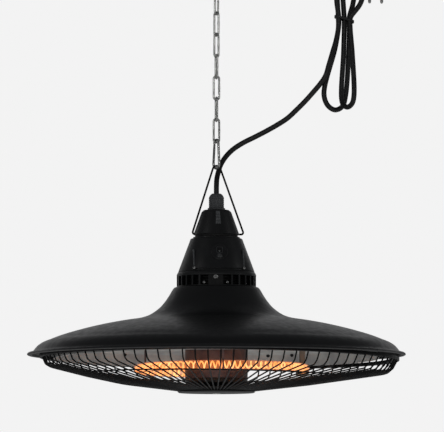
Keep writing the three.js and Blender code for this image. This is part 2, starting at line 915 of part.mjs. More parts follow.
function hubDrum() {
  const outer = hubDiameter / 2;
  const outline = [
    [outer - sheet, -hubDrop + hubBaseThickness + gap],
    [outer, -hubDrop + hubBaseThickness + gap],
    [outer, reflectorUnder - gap],
    [outer - sheet, reflectorUnder - gap],
  ];
  return turned(outline, round.middle);
}

const guardPlateTop = -guardPlateDrop + guardWire / 2 + gap + guardPlateHeight;

function hubBase() {
  const outer = hubDiameter / 2;
  const boss = guardScrewHead / 2;
  const hole = guardScrewDiameter / 2 + gap;
  const outline = [
    [hole, guardPlateTop + gap],
    [boss, guardPlateTop + gap],
    [boss, -hubDrop],
    [outer, -hubDrop],
    [outer, -hubDrop + hubBaseThickness],
    [hole, -hubDrop + hubBaseThickness],
  ];
  return turned(outline, round.middle);
}

// Ring lamp: an open quartz ring round a wound filament, in end blocks and clips
const lampPoint = (angle) =>
  vec(
    lampOffset + lampRadius * Math.cos(angle * deg),
    lampRadius * Math.sin(angle * deg),
    -lampDrop,
  );

function lampArc(from, to, steps) {
  const step = (to - from) / steps;
  return Array.from({ length: steps + 1 }, (_, i) => lampPoint(from + step * i));
}

function lampTube() {
  const outer = swept(
    lampArc(lampFrom, lampTo, lampSteps),
    polygon(lampTubeDiameter / 2, 8),
    vec(0, 0, 1),
  );
  const inner = swept(
    lampArc(lampFrom - 1, lampTo + 1, lampSteps),
    polygon(lampTubeDiameter / 2 - lampGlass, 8),
    vec(0, 0, 1),
  );
  return cut(outer, inner);
}

const arcPerMillimetre = 1 / (lampRadius * deg);

// The winding fades out over the first and last curl into a straight lead of one wire diameter
function filamentPath() {
  const steps = filamentCurls * 8;
  const lead = filamentWire * arcPerMillimetre;
  const radius = (filamentDiameter - filamentWire) / 2;
  const path = [lampPoint(lampFrom)];
  for (let i = 0; i <= steps; i++) {
    const share = i / steps;
    const angle = lampFrom + lead + (lampTo - lampFrom - 2 * lead) * share;
    const turn = 2 * Math.PI * filamentCurls * share;
    const spread = radius * Math.min(1, (i * (steps - i)) / (8 * steps));
    const centre = lampPoint(angle);
    const out = vec(Math.cos(angle * deg), Math.sin(angle * deg), 0);
    centre.addScaledVector(out, spread * Math.cos(turn));
    centre.z += spread * Math.sin(turn);
    path.push(centre);
  }
  path.push(lampPoint(lampTo));
  return path;
}

function filament() {
  const path = filamentPath();
  console.log("filament gap", leastGap(path, filamentWire, filamentDiameter * 2).toFixed(2));
  return swept(path, polygon(filamentWire / 2, 5), vec(0, 0, 1));
}

const lampStep = (lampTo - lampFrom) / lampSteps;

// A piece drawn with the tube along Y is put at an angle round the ring
function onLamp(geometry, angle, facing = angle) {
  const place = lampPoint(angle);
  return geometry.rotateZ(facing * deg).translate(place.x, place.y, place.z);
}

function lampPost(width) {
  const roof = reflectorUnder - gap + lampDrop;
  return block(lampPostWidth, width, 0, 0, lampTubeDiameter / 2 + lampGlass, roof);
}

// A block closes each end of the tube, which sits in a socket open towards `side`
function lampEnd(angle, side) {
  const shift = lampSocketDepth - lampBlock / 2;
  const body = block(lampBlock, lampBlock, 0, shift, -lampBlock / 2, lampBlock / 2);
  const post = lampPost(lampBlock / 2).translate(0, shift, 0);
  const socket = bar(lampTubeDiameter + 6 * gap, -4 * gap, lampBlock, 12).rotateX(-Math.PI / 2);
  const whole = cut(join(body, post), socket);
  whole.rotateZ(side > 0 ? 0 : Math.PI);
  return onLamp(whole, angle, angle + (side * lampStep) / 2);
}

function lampClip(angle) {
  const inner = lampTubeDiameter / 2 + 3 * gap;
  const ring = turned(
    [
      [inner, -lampClipWidth / 2],
      [inner + lampGlass, -lampClipWidth / 2],
      [inner + lampGlass, lampClipWidth / 2],
      [inner, lampClipWidth / 2],
    ],
    12,
  ).rotateX(Math.PI / 2);
  return onLamp(join(ring, lampPost(lampClipWidth / 2)), angle);
}

// Guard: wires fan out from a centre disc, down the cone and up to a flat rim ring
const guardRimOuter = rimDiameter / 2 - beadWidth - gap;
const guardRimUnder = flangeHeight - beadHeight - flangeHeight * beadShares.under - gap * 2;

function guardRim() {
  const outline = [
    [guardRimOuter - guardRimWidth, guardRimUnder],
    [guardRimOuter, guardRimUnder],
    [guardRimOuter, guardRimUnder + guardRimHeight],
    [guardRimOuter - guardRimWidth, guardRimUnder + guardRimHeight],
  ];
  return turned(outline, round.fine);
}

function guardProfile() {
  return [
    [rimDiameter / 2 - guardTopInset, guardRimUnder - gap],
    [rimDiameter / 2 - guardCornerInset, -guardCornerDrop],
    [guardMiddleDiameter / 2, -guardMiddleDrop],
    [guardPlateDiameter / 2, -guardPlateDrop],
  ];
}

// Every wire is three-sided and runs into the disc's edge, so that all is one body
function guardWiring() {
  const profile = guardProfile();
  const half = guardWire / 2;
  const disc = profile.length - 1;
  const normals = profile.map((place, i) => {
    if (i === 0) return [-1, 0];
    if (i === disc) return [0, 1];
    const run = new THREE.Vector2(profile[i + 1][0] - place[0], profile[i + 1][1] - place[1]);
    run.normalize();
    return [run.y, -run.x];
  });
  const vertices = [];
  const faces = [];
  const pitch = (2 * Math.PI) / guardWires;
  const corner = (radius, across, angle, height) => {
    const x = radius * Math.sin(angle) + across * Math.cos(angle);
    const y = -radius * Math.cos(angle) + across * Math.sin(angle);
    vertices.push(x, y, height);
    return vertices.length / 3 - 1;
  };
  const hubs = [1, -1].map((side) => corner(0, 0, 0, -guardPlateDrop + side * half));
  const ends = [];
  for (let w = 0; w < guardWires; w++) {
    const rings = profile.map(([radius, height], i) => {
      const [out, up] = normals[i].map((share) => share * half);
      return [
        corner(radius + out, -half, w * pitch, height + up),
        corner(radius + out, half, w * pitch, height + up),
        corner(radius - out, 0, w * pitch, height - up),
      ];
    });
    const [a, b, c] = rings[0];
    faces.push(a, c, b);
    for (let i = 0; i < disc; i++)
      for (let j = 0; j < 3; j++) {
        const k = (j + 1) % 3;
        const [here, there] = [rings[i], rings[i + 1]];
        faces.push(here[j], here[k], there[j], here[k], there[k], there[j]);
      }
    ends.push(rings[disc]);
  }
  ends.forEach(([a, b, c], w) => {
    const [d, , e] = ends[(w + 1) % guardWires];
    faces.push(hubs[0], a, b, hubs[0], b, d, hubs[1], e, c);
    faces.push(b, c, e, b, e, d);
  });
  const hole = bar(guardScrewDiameter + 4 * gap, -guardPlateDrop - guardWire, 0, 10);
  return cut(shell(vertices, faces), hole);
}

// Hoops tie the wires together on their inner side, one at the corner and one lower down
function guardHoop(share) {
  const [corner, middle] = guardProfile().slice(1, 3);
  const radius = THREE.MathUtils.lerp(corner[0], middle[0], share) - guardWire;
  const lift = guardWire * guardHoopLift + gap;
  const height = THREE.MathUtils.lerp(corner[1], middle[1], share) + lift;
  const half = guardWire / 2;
  const outline = [
    [radius, height - half],
    [radius + half, height + half],
    [radius - half, height + half],
  ];
  return turned(outline, 45);
}

function guardPlate(low, high) {
  const outer = guardPlateDiameter / 2;
  const hole = guardScrewDiameter / 2 + gap;
  const outline = [
    [hole, low],
    [outer - guardWire / 2, low],
    [outer, low + (high - low) / 2],
    [outer, high],
    [hole, high],
  ];
  return turned(outline, round.middle);
}

function guardScrew() {
  const under = guardLowerPlateLow - gap;
  const head = guardScrewHead / 2;
  const shank = guardScrewDiameter / 2;
  return turned(
    [
      [0, under - guardScrewHeadHeight],
      [head * guardScrewFaceShare, under - guardScrewHeadHeight],
      [head, under],
      [shank, under],
      [shank, -hubDrop + hubBaseThickness],
      [0, -hubDrop + hubBaseThickness],
    ],
    14,
  );
}

const guardLowerPlateHigh = -guardPlateDrop - guardWire / 2 - gap;
const guardLowerPlateLow = guardLowerPlateHigh - guardPlateHeight / 2;

// Supply cord, in the heater's frame. It leaves the gland, passes behind the snap hook and rises
// to a tied hank that hangs on a hook of its own beside the chain.
const leadRoute = [
  [0, 0, 247.7], [0, 0, 258], [1.1, 4.9, 270.6], [4.1, 12.7, 281.6], [8.9, 22.3, 294.4],
  [18.2, 30.4, 308.6], [30.1, 34.3, 320.3], [45.5, 34.3, 330.3], [62.1, 31.7, 338.6],
  [78.6, 26.6, 347], [94.9, 20, 356], [111.2, 13.4, 366.4], [125.9, 7, 380],
  [139.2, 0.7, 393.6], [151, -4.5, 407.1], [159.8, -9.4, 417.8],
];
const hankCentre = [199, 1, 516];
// Strands between folds, from the first rise to the tail, as offsets from the middle of the tie
const hankStrands = [
  [[-39, -10.6, -97.9], [-31.3, -14.6, -86], [-25.3, -13.4, -67], [-19.4, -11, -48],
    [-13.6, -8, -29], [-9.2, -4.5, -6], [-9.2, -4.5, 8], [-12.5, -8, 30]],
  [[-9.6, 6.5, 30], [-8.6, 4.5, 6], [-8.6, 4.5, -8], [-14, 2.2, -40]],
  [[8.3, 9, -40], [8.6, 4.5, -6], [8.6, 4.5, 8], [14.6, 6.5, 30]],
  [[-1.6, -1, 30], [0, 0, 6], [0, 0, -8], [-1, 2.5, -50]],
  [[11, -10.5, -50], [8.6, -4.5, -8], [9, -4.5, 6], [25, -8, 30]],
];
// Folds: middle, radius, turn about Z of the line from the strand in to the strand out
const hankFolds = [
  { at: [-14, 0, 91], radius: 17, yaw: 80, up: 1 },
  { at: [-14, 8, -112], radius: 24, yaw: 38.5, up: -1 },
  { at: [8, 0, 91], radius: 17, yaw: 215, up: 1 },
  { at: [4.3, -6, -117], radius: 16, yaw: -60.4, up: -1 },
  { at: [44, 2, 91], radius: 17, yaw: 63.4, up: 1 },
];
const hankStepsPerLoop = 24;

function foldPoints({ at, radius, yaw, up }) {
  const points = [];
  for (let k = 0; k <= 4; k++) {
    const angle = (Math.PI * k) / 4;
    const across = -radius * Math.cos(angle);
    points.push([
      at[0] + across * Math.cos(yaw * deg),
      at[1] + across * Math.sin(yaw * deg),
      at[2] + up * radius * Math.sin(angle),
    ]);
  }
  return points;
}

function hankPath() {
  const places = hankStrands.flatMap((strand, i) => [...strand, ...foldPoints(hankFolds[i])]);
  const centre = vec(...hankCentre);
  const points = places.map((place) => vec(...place).add(centre));
  const tail = points[points.length - 1].clone();
  points.push(tail.clone().add(vec(0, 0, -cordDiameter)));
  const curve = new THREE.CatmullRomCurve3(points);
  const steps = Math.round(((hankFolds.length + 1) / 2) * hankStepsPerLoop);
  const path = Array.from({ length: steps + 1 }, (_, i) => curve.getPoint(i / steps));
  const start = leadDirection.clone().multiplyScalar(cordDiameter).add(path[0]);
  path.splice(1, 1, start);
  return path;
}

const leadPoints = leadRoute.map((place) => vec(...place));
const leadDirection = leadPoints.at(-1).clone().sub(leadPoints.at(-2)).normalize();

function cordLead() {
  return tube(leadPoints, cordDiameter, 22, 8);
}

function cordHank() {
  const path = hankPath();
  const total = lengthOf(leadPoints) + lengthOf(path);
  console.log("hank gap", leastGap(path, cordDiameter, cordDiameter * 4).toFixed(2));
  console.log("cord length", total.toFixed(0));
  return swept(path, polygon(cordDiameter / 2, round.wire), vec(0, 1, 0));
}

// A strap drawn round the five strands at the hank's waist
function cordTie() {
  const strands = hankStrands.map((strand) => strand[strand.length > 5 ? 5 : 1]);
  const reach = cordDiameter / 2 + gap * 2 + tieThickness / 2;
  const halfWidth = Math.max(...strands.map((place) => Math.abs(place[0]))) + reach;
  const halfDepth = Math.max(...strands.map((place) => Math.abs(place[1]))) + reach;
  const corners = [
    vec(0, -halfDepth, 0),
    vec(halfWidth, -halfDepth, 0),
    vec(halfWidth, halfDepth, 0),
    vec(-halfWidth, halfDepth, 0),
    vec(-halfWidth, -halfDepth, 0),
    vec(0, -halfDepth, 0),
  ];
  const path = rounded(corners, [reach, reach, reach, reach], 4);
  path.pop();
  const across = tieThickness / 2;
  const along = tieWidth / 2;
  const section = [[along, across], [-along, across], [-along, -across], [along, -across]];
  return swept(path, section, vec(0, 0, 1), true);
}

function plug() {
  const end = vec(...foldPoints(hankFolds.at(-1)).at(-1)).add(vec(0, 0, -cordDiameter - gap));
  const neck = cordDiameter / 2 + 2 * tieThickness;
  const body = plugDiameter / 2;
  const outline = [
    [0, -plugLength],
    [body, -plugLength],
    [body, -plugLength * plugGripShares.face],
    [body * plugGripShares.width, -plugLength * plugGripShares.waist],
    [neck, 0],
    [0, 0],
  ];
  const pins = [-1, 1].map((side) =>
    bar(plugPinDiameter, -plugLength - plugPinLength, overrun - plugLength, 10).translate(
      (side * plugPinSpacing) / 2,
      0,
      0,
    ),
  );
  return join(turned(outline, 20), ...pins).translate(end.x, end.y, end.z);
}

// A wire hook: its lower arm runs under the folds, its upper crown goes over the ceiling's hook
function cordHook() {
  const reach = cordDiameter / 2 + 3 * gap + cordHookWire / 2;
  const arm = hankFolds[0].at[2] + hankFolds[0].radius - reach;
  const crown = -rimLevel - hankCentre[2] + cordHookWire / 2;
  const left = hankFolds[0].at[0] - hankFolds[0].radius;
  const right = hankFolds[4].at[0] + hankFolds[4].radius;
  const bend = cordHookCrown / 2;
  const corners = [
    vec(right, 0, arm + cordHookCrown),
    vec(right, 0, arm),
    vec(left, 0, arm),
    vec(left, 0, crown),
    vec(left + 2 * cordHookCrown, 0, crown),
    vec(left + 2 * cordHookCrown, 0, crown - bend * cordHookTipShare),
  ];
  const radii = [bend, bend, bend, bend / 2];
  return swept(rounded(corners, radii, 4), polygon(cordHookWire / 2, round.wire), vec(0, 1, 0));
}

// Assembly
const heater = new THREE.Group();
addHook(heater, "ceiling_hook", ceilingHookBase, ceilingHookYaw);
addChain(heater);
addHook(heater, "snap_hook", snapHookBase, snapHookYaw);

const body = new THREE.Group();
body.position.z = rimLevel;
heater.add(body);
add(body, "hanging_bail", bail(), blackPaint);
add(body, "gland_body", glandBody(), greyPlastic);
add(body, "gland_nut", glandNut(), greyPlastic);
add(body, "gland_seal", glandSeal(), cordRubber);
add(body, "gland_locknut", locknut(), greyPlastic);
add(body, "neck_cap", cap(), blackPlastic);
add(body, "neck_cone", cone(), blackPlastic);
add(body, "front_panel", frontPanel(), blackPlastic);
add(body, "vent_ring", ventRing(), blackPlastic);
add(body, "louvre_ring", louvres(), blackPlastic);
const panelLift = 2.5 * gap + panelThickness;
const screws = [-panelScrewAngle, panelScrewAngle].map((angle) =>
  onSlope(screw(screwLength), angle, panelScrewHeight, panelLift),
);
add(body, "panel_screw_left", screws[0], steel);
add(body, "panel_screw_right", screws[1], steel);
const ventScrew = screw(screwLength).rotateX(Math.PI / 2);
ventScrew.translate(0, -ventDiameter / 2 - gap, ventScrewHeight).rotateZ(ventTurn * deg);
add(body, "vent_screw", ventScrew, steel);
add(body, "mounting_plate", mountingPlate(), brightSheet);
add(body, "control_board", controlBoard(), boardGreen);
add(body, "terminal_block", terminalBlock(), ceramic);
add(body, "thermal_cutout", thermalCutout(), steel);
add(body, "inner_cable", innerCable(), cordRubber);

const controls = new THREE.Group();
controls.rotation.x = controlTilt;
controls.position.copy(controlAt);
body.add(controls);
add(controls, "control_bezel", bezel(), greyPlastic);
add(controls, "receiver_window", receiver(), smokedLens);
add(controls, "power_button", button(), steel);

add(body, "shade", shade(), blackPaint);
add(body, "centre_tube", centreTube(), brightSheet);
add(body, "heat_shield", heatShield(), brightSheet);
add(body, "reflector", reflector(), brightSheet);
add(body, "hub_drum", hubDrum(), hubSheet);
add(body, "hub_base", hubBase(), blackPaint);
add(body, "lamp_tube", lampTube(), quartz);
add(body, "lamp_filament", filament(), hotWire);
add(body, "lamp_end_first", lampEnd(lampFrom, 1), ceramic);
add(body, "lamp_end_last", lampEnd(lampTo, -1), ceramic);
lampClipSteps.forEach((step, i) => {
  add(body, `lamp_clip_${i + 1}`, lampClip(lampFrom + lampStep * step), brightSheet);
});

add(body, "guard_rim", guardRim(), blackPaint);
add(body, "guard_wires", guardWiring(), blackPaint);
add(body, "guard_hoop_corner", guardHoop(guardHoopShares[0]), blackPaint);
add(body, "guard_hoop_lower", guardHoop(guardHoopShares[1]), blackPaint);
const upperPlateLow = -guardPlateDrop + guardWire / 2 + gap;
add(body, "guard_plate_upper", guardPlate(upperPlateLow, guardPlateTop), blackPaint);
add(body, "guard_plate_lower", guardPlate(guardLowerPlateLow, guardLowerPlateHigh), blackPaint);
add(body, "guard_screw", guardScrew(), steel);

add(body, "cord_lead", cordLead(), cordRubber);
add(body, "cord_hank", cordHank(), cordRubber);
const hank = new THREE.Group();
hank.position.set(...hankCentre);
body.add(hank);
add(hank, "cord_tie", cordTie(), cordRubber);
add(hank, "plug", plug(), cordRubber);
add(hank, "cord_hook", cordHook(), steel);

export default heater;
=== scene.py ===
# %% [markdown]
# # A hanging infrared heater
#
# A wide steel shade hangs from a chain. Under it a ring lamp glows behind a wire guard, and on top
# stands a black neck with the controls. The solids come from a CAD model, in metres and at rest.
# Blender keeps their places and sizes and adds the fine surface, so every piece below is drawn on
# the CAD's own heights. Sizes are written in millimetres, because that is how the parts are made.

import math

import bpy
from mathutils import Matrix, Quaternion, Vector


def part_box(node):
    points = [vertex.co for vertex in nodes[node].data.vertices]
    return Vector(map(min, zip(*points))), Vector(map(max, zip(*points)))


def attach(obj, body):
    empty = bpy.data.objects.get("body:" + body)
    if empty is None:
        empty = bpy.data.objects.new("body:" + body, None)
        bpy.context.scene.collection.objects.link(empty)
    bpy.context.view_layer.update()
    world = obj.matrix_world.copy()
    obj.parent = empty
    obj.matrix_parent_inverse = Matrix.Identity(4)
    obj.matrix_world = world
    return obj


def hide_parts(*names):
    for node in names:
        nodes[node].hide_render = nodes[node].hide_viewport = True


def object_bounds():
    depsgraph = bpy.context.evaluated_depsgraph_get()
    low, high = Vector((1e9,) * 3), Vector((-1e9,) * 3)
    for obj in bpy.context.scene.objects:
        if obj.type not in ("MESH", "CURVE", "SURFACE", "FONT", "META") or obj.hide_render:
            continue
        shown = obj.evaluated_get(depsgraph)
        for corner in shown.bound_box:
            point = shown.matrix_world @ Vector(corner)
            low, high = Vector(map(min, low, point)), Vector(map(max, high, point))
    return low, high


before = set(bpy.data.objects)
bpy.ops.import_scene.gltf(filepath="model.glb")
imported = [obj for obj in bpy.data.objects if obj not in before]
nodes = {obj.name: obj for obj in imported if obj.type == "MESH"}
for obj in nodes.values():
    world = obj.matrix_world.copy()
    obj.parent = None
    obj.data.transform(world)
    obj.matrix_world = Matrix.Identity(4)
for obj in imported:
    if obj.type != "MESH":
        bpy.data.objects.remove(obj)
cad_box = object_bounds()
print("CAD nodes:", len(nodes), "height:", round(cad_box[1].z - cad_box[0].z, 3), "m")

# %% [markdown]
# ## Heights
# The shade's top edge is the one height that the CAD and this script both know, so the plane of
# the rim follows from it. All of the heater's own sizes are counted from that plane, upwards. The
# CAD's origin is up at the hook, and sizes counted down from there would be hard to read. HEATER
# turns millimetres from the rim plane into metres in the scene.

# %% Reference heights
MM = 0.001
SHADE_HEIGHT = 102.6
rim_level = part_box("shade")[1].z / MM - SHADE_HEIGHT
HEATER = Matrix.Translation((0, 0, rim_level * MM)) @ Matrix.Scale(MM, 4)
print("rim plane at", round(rim_level, 2), "mm")

# %% [markdown]
# ## The camera
# The photograph was taken from far away with a long lens. The near edge of the rim bulges upwards
# by 8 pixels, so the camera looks up at it from below, and one can see in past the guard. The
# rings of the neck bulge more, for their size, because they hang higher above the camera. The
# panel is turned slightly to the right, so the camera stands to the left of the front. A camera
# could be set by eye, but three sizes that mean something are easier to correct: how far away it
# stands, how far it is turned, and how far it is below the rim.

# %% Camera
PHOTO_WIDTH = 444
PHOTO_HEIGHT = 432
AXIS_PIXEL = 216.4
RIM_PIXEL = 354.5
PIXEL_SIZE = 1.532
CAMERA_DISTANCE = 5500
CAMERA_TURN = math.radians(5.5)
CAMERA_DROP = 240


def make_camera():
    side = (PHOTO_WIDTH / 2 - AXIS_PIXEL) * PIXEL_SIZE
    below = (RIM_PIXEL - PHOTO_HEIGHT / 2) * PIXEL_SIZE
    rise = math.atan(CAMERA_DROP / CAMERA_DISTANCE) + math.atan(below / CAMERA_DISTANCE)
    right = Vector((math.cos(CAMERA_TURN), -math.sin(CAMERA_TURN), 0))
    ahead = Vector((math.sin(CAMERA_TURN), math.cos(CAMERA_TURN), 0))
    place = right * side - ahead * CAMERA_DISTANCE + Vector((0, 0, rim_level - CAMERA_DROP))
    ahead.z = math.tan(rise)
    data = bpy.data.cameras.new("camera")
    data.lens = data.sensor_width * CAMERA_DISTANCE / (PHOTO_WIDTH * PIXEL_SIZE)
    camera = bpy.data.objects.new("camera", data)
    camera.location = place * MM
    camera.rotation_mode = "QUATERNION"
    camera.rotation_quaternion = ahead.to_track_quat("-Z", "Y")
    bpy.context.scene.collection.objects.link(camera)
    bpy.context.scene.camera = camera
    return camera


camera = make_camera()
print("lens", round(camera.data.lens), "mm")

# %% [markdown]
# ## Building with rings
# Nearly every part of this heater is either turned on a lathe or bent from wire. Both are rings of
# points joined by four-sided faces, so two helpers make almost all of the meshes. Blender's own
# cylinders and modifiers could start them too, but with plain lists of points every size stays in
# view. Faces are shaded smooth, except across edges that are sharp on the real part.

# %% From a shape to a piece
SHARP_ANGLE = math.radians(38)


def piece(name, shape, finish, body, replaces=(), at=HEATER):
    points, faces = shape
    mesh = bpy.data.meshes.new(name)
    mesh.from_pydata([at @ Vector(p) for p in points], [], faces)
    mesh.validate()
    mesh.shade_smooth()
    mesh.set_sharp_from_angle(angle=SHARP_ANGLE)
    mesh.materials.append(finish)
    made = bpy.data.objects.new(name, mesh)
    bpy.context.scene.collection.objects.link(made)
    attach(made, body)
    if replaces:
        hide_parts(*replaces)
    return made


print("edges stay sharp above", round(math.degrees(SHARP_ANGLE)), "degrees")

# %% [markdown]
# A shape is a list of points and a list of faces. Kept like this, shapes can be joined and moved
# before they become a mesh, as a maker joins parts before painting. Neighbouring rings are bridged
# by four-sided faces, and an open row of rings gets a cap at each end.

# %% Joining, moving and bridging
def joined(*shapes):
    points = []
    faces = []
    for some_points, some_faces in shapes:
        start = len(points)
        points += some_points
        faces += [tuple(i + start for i in face) for face in some_faces]
    return points, faces


def moved(shape, matrix):
    return [matrix @ Vector(p) for p in shape[0]], shape[1]


def bridge(rings, sides, closed=False):
    faces = []
    for i in range(rings if closed else rings - 1):
        here = i * sides
        there = (i + 1) % rings * sides
        for j in range(sides):
            k = (j + 1) % sides
            faces.append((here + j, here + k, there + k, there + j))
    return faces


def caps(rings, sides):
    total = rings * sides
    return [tuple(range(sides))[::-1], tuple(range(total - sides, total))]


def plain_box(low, high):
    (x0, y0, z0), (x1, y1, z1) = low, high
    points = [(x, y, z) for z in (z0, z1) for x, y in ((x0, y0), (x1, y0), (x1, y1), (x0, y1))]
    return points, bridge(2, 4) + caps(2, 4)


print("faces of a box:", len(plain_box((0, 0, 0), (1, 1, 1))[1]))

# %% [markdown]
# A turned part is an outline of radius and height, carried round the axis. A third number in a
# place of the outline is the radius of its corner, because no real edge is perfectly sharp. A bevel
# modifier would round all the edges alike, and here each corner has a radius of its own.

# %% Rounded outlines
CORNER_SHARES = (0, 0.25, 0.5, 0.75, 1)
LONGEST_CORNER_SHARE = 0.49


def softened(outline, closed=True):
    made = []
    count = len(outline)
    for i, place in enumerate(outline):
        here = Vector(place[:2])
        inner = closed or 0 < i < count - 1
        if len(place) < 3 or not inner:
            made.append(here)
            continue
        back = Vector(outline[i - 1][:2]) - here
        onward = Vector(outline[(i + 1) % count][:2]) - here
        half = back.angle(onward) / 2
        longest = LONGEST_CORNER_SHARE * min(back.length, onward.length)
        reach = min(place[2] / math.tan(half), longest)
        start = here + back.normalized() * reach
        end = here + onward.normalized() * reach
        for share in CORNER_SHARES:
            low = start.lerp(here, share)
            high = here.lerp(end, share)
            made.append(low.lerp(high, share))
    return made


print("places in one rounded corner:", len(CORNER_SHARES))

# %% [markdown]
# An outline that is carried all the way round gives a turned part. One that stops after some of the
# turn is called a sector here, and it gets a cap at each end. Blender's screw modifier would carry
# an outline round too, but it has to be applied before two parts can be joined.

# %% Turned parts
TURN_STEPS = 96


def carried_round(line, angles):
    return [Vector((radius * math.sin(angle), -radius * math.cos(angle), height))
            for angle in angles for radius, height in line]


def turned(outline, steps=TURN_STEPS, closed=True):
    line = softened(outline, closed)
    sides = len(line)
    points = carried_round(line, [math.tau * i / steps for i in range(steps)])
    faces = bridge(steps, sides, True)
    return points, [face for face in faces if closed or face[1] % sides != 0]


def sector(outline, start, end, steps):
    line = softened(outline)
    points = carried_round(line, [start + (end - start) * i / steps for i in range(steps + 1)])
    return points, bridge(steps + 1, len(line)) + caps(steps + 1, len(line))


print("a turned part has", TURN_STEPS, "steps round the axis")

# %% [markdown]
# A bent wire is a circle carried along a line. The circle is turned as little as possible from one
# point to the next, which keeps the wire from twisting. A curve object with a bevel gives the same
# tube, but not the rounded ends that cut wire gets. First come the frames: at each point of the line
# a side, another side and the way ahead.

# %% Frames along a line
def carried(path, closed):
    count = len(path)
    frames = []
    along = None
    side = None
    for i in range(count):
        if closed:
            next_along = path[(i + 1) % count] - path[i - 1]
        else:
            next_along = path[min(i + 1, count - 1)] - path[max(i - 1, 0)]
        next_along = next_along.normalized()
        if along is None:
            side = next_along.orthogonal().normalized()
        else:
            side = along.rotation_difference(next_along) @ side
        along = next_along
        side = (side - along * side.dot(along)).normalized()
        frames.append((side, along.cross(side), along))
    return frames


print("frames on a straight line:", len(carried([Vector((0, 0, 0)), Vector((0, 0, 1))], False)))

# %% [markdown]
# Then a circle is drawn in every frame, and the circles are bridged. An open wire that isn't cut
# flat gets two smaller circles at each end, which round it off.

# %% Bent wire
ROUNDED_END = ((0.35, 1.0), (0.8, 0.65))


def wire(path, radius, sides=12, closed=False, ends="round"):
    path = [Vector(p) for p in path]
    frames = carried(path, closed)
    radii = [radius] * len(path)
    if not closed and ends == "round":
        first, last = frames[0], frames[-1]
        heads = [path[0] - first[2] * radius * out for _, out in ROUNDED_END]
        tails = [path[-1] + last[2] * radius * out for _, out in ROUNDED_END[::-1]]
        narrow = [radius * share for share, _ in ROUNDED_END]
        path = heads + path + tails
        radii = narrow + radii + narrow[::-1]
        frames = [first, first] + frames + [last, last]
    points = []
    for place, size, (side, other, _) in zip(path, radii, frames):
        for j in range(sides):
            angle = math.tau * j / sides
            points.append(place + (side * math.cos(angle) + other * math.sin(angle)) * size)
    faces = bridge(len(path), sides, closed)
    if not closed:
        faces += caps(len(path), sides)
    return points, faces


print("points in a straight wire:", len(wire([(0, 0, 0), (0, 0, 10)], 1)[0]))

# %% [markdown]
# Where a wire turns a corner it has a bending radius, as it has on a bending jig. The next helper
# takes the corners of a wire and the radius at each, and gives back the points of its line. Handles
# on a curve could round a corner too, but only by eye and not to a given radius.

# %% Bends
def bent(corners, radii, steps=6):
    corners = [Vector(c) for c in corners]
    path = [corners[0]]
    for i, radius in enumerate(radii):
        corner = corners[i + 1]
        back = (corners[i] - corner).normalized()
        onward = (corners[i + 2] - corner).normalized()
        half = back.angle(onward) / 2
        middle = corner + (back + onward).normalized() * radius / math.sin(half)
        start = corner + back * radius / math.tan(half) - middle
        end = corner + onward * radius / math.tan(half) - middle
        turn = start.rotation_difference(end)
        for k in range(steps + 1):
            path.append(middle + Quaternion().slerp(turn, k / steps) @ start)
    path.append(corners[-1])
    return path


print("points in one bend:", len(bent([(0, 0, 0), (9, 0, 0), (9, 9, 0)], [3])) - 2)

# %% [markdown]
# ## Finishes
# Each material is built from a few shader nodes. Noise in the piece's own coordinates changes the
# colour and the roughness slightly and lifts the surface by hundredths of a millimetre, as paint,
# plating and moulded plastic do. A flat colour would look like a drawing, and an image would have
# to be fitted to each piece. A colour is written as the three levels that a screen shows, up to 255,
# but a shader counts in shares of light. So the first helper turns one into the other.

# %% Colours
def linear(level):
    share = level / 255
    return share / 12.92 if share <= 0.04045 else ((share + 0.055) / 1.055) ** 2.4


def colour(red, green, blue):
    return (linear(red), linear(green), linear(blue), 1)


print("a screen grey of 128 is", round(linear(128), 3), "of the light of white")

# %% [markdown]
# A Finish holds one material. Its methods are the steps that all the finishes are put together
# from: noise of a given size, a spread of it between two values, a blend of two colours, and a bump
# on the surface. The nodes could be laid out by hand in the shader editor, but then each change
# would have to be made once for every finish.

